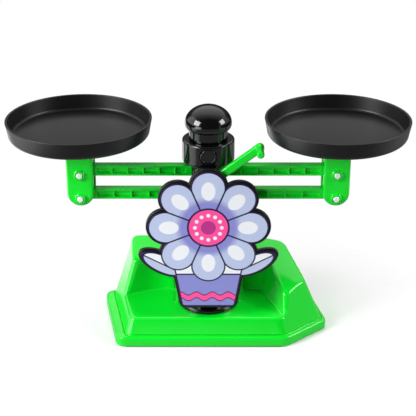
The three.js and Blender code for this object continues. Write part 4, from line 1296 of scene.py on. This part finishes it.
def studio_world(light):
    """A world that is white to the camera, even to plain surfaces and a studio in glossy ones."""
    world = bpy.data.worlds.new("studio")
    world.use_nodes = True
    tree = world.node_tree
    background = tree.nodes["Background"]
    background.inputs["Color"].default_value = (1.0, 1.0, 1.0, 1.0)
    rays = tree.nodes.new("ShaderNodeLightPath")
    camera = Wire(tree, rays.outputs["Is Camera Ray"])
    glossy = Wire(tree, rays.outputs["Is Glossy Ray"])
    way = Wire(tree, tree.nodes.new("ShaderNodeTexCoord").outputs["Generated"])
    right, depth, height = (way.part(axis) for axis in range(3))
    rise = height.math("MAXIMUM", 0.0)
    behind = depth.math("MAXIMUM", 0.0)
    back = behind * height.above(BACKDROP_FOOT, WALL_SOFT) * light.back_in_gloss
    back_left = behind * right.near(BACK_LEFT, BACK_LEFT_HALF, WALL_SOFT) * light.table_behind_in_gloss
    table = height.below(TABLE_EDGE, TABLE_SOFT) * (light.table_in_gloss + back_left)
    left_wall = right.below(LEFT_WALL, WALL_SOFT) * light.left_in_gloss
    right_wall = right.above(RIGHT_WALL, WALL_SOFT) * light.right_in_gloss
    low_band = height.near(LOW_LEFT_MIDDLE, LOW_LEFT_HALF, LOW_LEFT_FADE) * depth.below(0.0, LOW_LEFT_END)
    low_left = right.below(LOW_LEFT, LOW_LEFT_SOFT) * low_band * light.low_left_in_gloss
    ceiling = rise * rise * depth.above(CEILING_FRONT, CEILING_SOFT) * light.ceiling_in_gloss
    seen = light.front_in_gloss + ceiling + back + table + left_wall + right_wall + low_left
    level = light.sky + glossy * (seen - light.sky)
    shown = camera + (1.0 - camera) * level
    shown.feed(background, "Strength")
    bpy.context.scene.world = world


class BALANCE_OT_stage(bpy.types.Operator):
    """Lay the floor and set the lights, the world and the camera"""

    bl_idname = "balance.stage"
    bl_label = "Stage"

    def execute(self, context):
        scene = context.scene
        light = scene.balance_light
        scene.view_settings.view_transform = "Standard"
        self.floor(opaque_colours())
        softbox("key", light.key_power, light.key_size, AIM + LIGHT_REACH * KEY_WAY)
        softbox("side", light.side_power, light.side_size, AIM + LIGHT_REACH * SIDE_WAY)
        softbox("front", light.front_power, light.front_size, FRONT_PLACE, in_gloss=False)
        softbox("top", light.top_power, light.top_size, TOP_PLACE, in_gloss=False)
        studio_world(light)
        camera = bpy.data.objects.new("camera", bpy.data.cameras.new("camera"))
        camera.data.lens = light.focal
        camera.data.sensor_width = SENSOR_WIDTH
        camera.location = (light.camera_x, light.camera_back, light.camera_height)
        camera.rotation_euler = (light.camera_pitch, 0.0, 0.0)
        scene.collection.objects.link(camera)
        scene.camera = camera
        return {"FINISHED"}

    def floor(self, colours):
        bm = bmesh.new()
        bmesh.ops.create_grid(bm, x_segments=1, y_segments=1, size=FLOOR_SIZE)
        mesh = bpy.data.meshes.new("floor")
        bm.to_mesh(mesh)
        bm.free()
        material, shader, place = new_finish("floor")
        camera = place.node("ShaderNodeLightPath", {}, {}, output="Is Camera Ray")
        glossy = place.node("ShaderNodeLightPath", {}, {}, output="Is Glossy Ray")
        unseen = glossy.mix(colours.floor_bounce, colours.floor_in_gloss)
        camera.mix(unseen, colours.floor).feed(shader, "Base Color")
        shader.inputs["Roughness"].default_value = 0.9
        shader.inputs["Specular IOR Level"].default_value = 0.1
        spread = place.node("ShaderNodeVectorMath", {"operation": "LENGTH"}, {0: place}, output=1)
        spread.below(FLOOR_REACH, FLOOR_FADE).feed(shader, "Alpha")
        mesh.materials.append(material)
        linked("floor", mesh)


class BALANCE_PT_pieces(bpy.types.Panel):
    """Lists the builders of the balance scale"""

    bl_label = "Balance scale"
    bl_idname = "BALANCE_PT_pieces"
    bl_space_type = "VIEW_3D"
    bl_region_type = "UI"
    bl_category = "Balance"

    def draw(self, context):
        for builder in BUILDERS:
            self.layout.operator(builder.bl_idname)


BUILDERS = (
    BALANCE_OT_base,
    BALANCE_OT_underside,
    BALANCE_OT_column,
    BALANCE_OT_beams,
    BALANCE_OT_carriers,
    BALANCE_OT_lever,
    BALANCE_OT_plaque,
    BALANCE_OT_stage,
)
GROUPS = {
    "balance_base": BalanceBaseSizes,
    "balance_links": BalanceLinkSizes,
    "balance_column": BalanceColumnSizes,
    "balance_plaque": BalancePlaqueSizes,
    "balance_colours": BalanceColours,
    "balance_light": BalanceLight,
}


def register():
    for group in GROUPS.values():
        bpy.utils.register_class(group)
    for name, group in GROUPS.items():
        setattr(bpy.types.Scene, name, PointerProperty(type=group))
    for builder in (*BUILDERS, BALANCE_PT_pieces):
        bpy.utils.register_class(builder)


def unregister():
    for builder in (BALANCE_PT_pieces, *reversed(BUILDERS)):
        bpy.utils.unregister_class(builder)
    for name, group in GROUPS.items():
        delattr(bpy.types.Scene, name)
        bpy.utils.unregister_class(group)


def main():
    register()
    for name in ("base", "underside", "column", "beams", "carriers", "lever", "plaque", "stage"):
        getattr(bpy.ops.balance, name)()


if __name__ == "__main__":
    main()
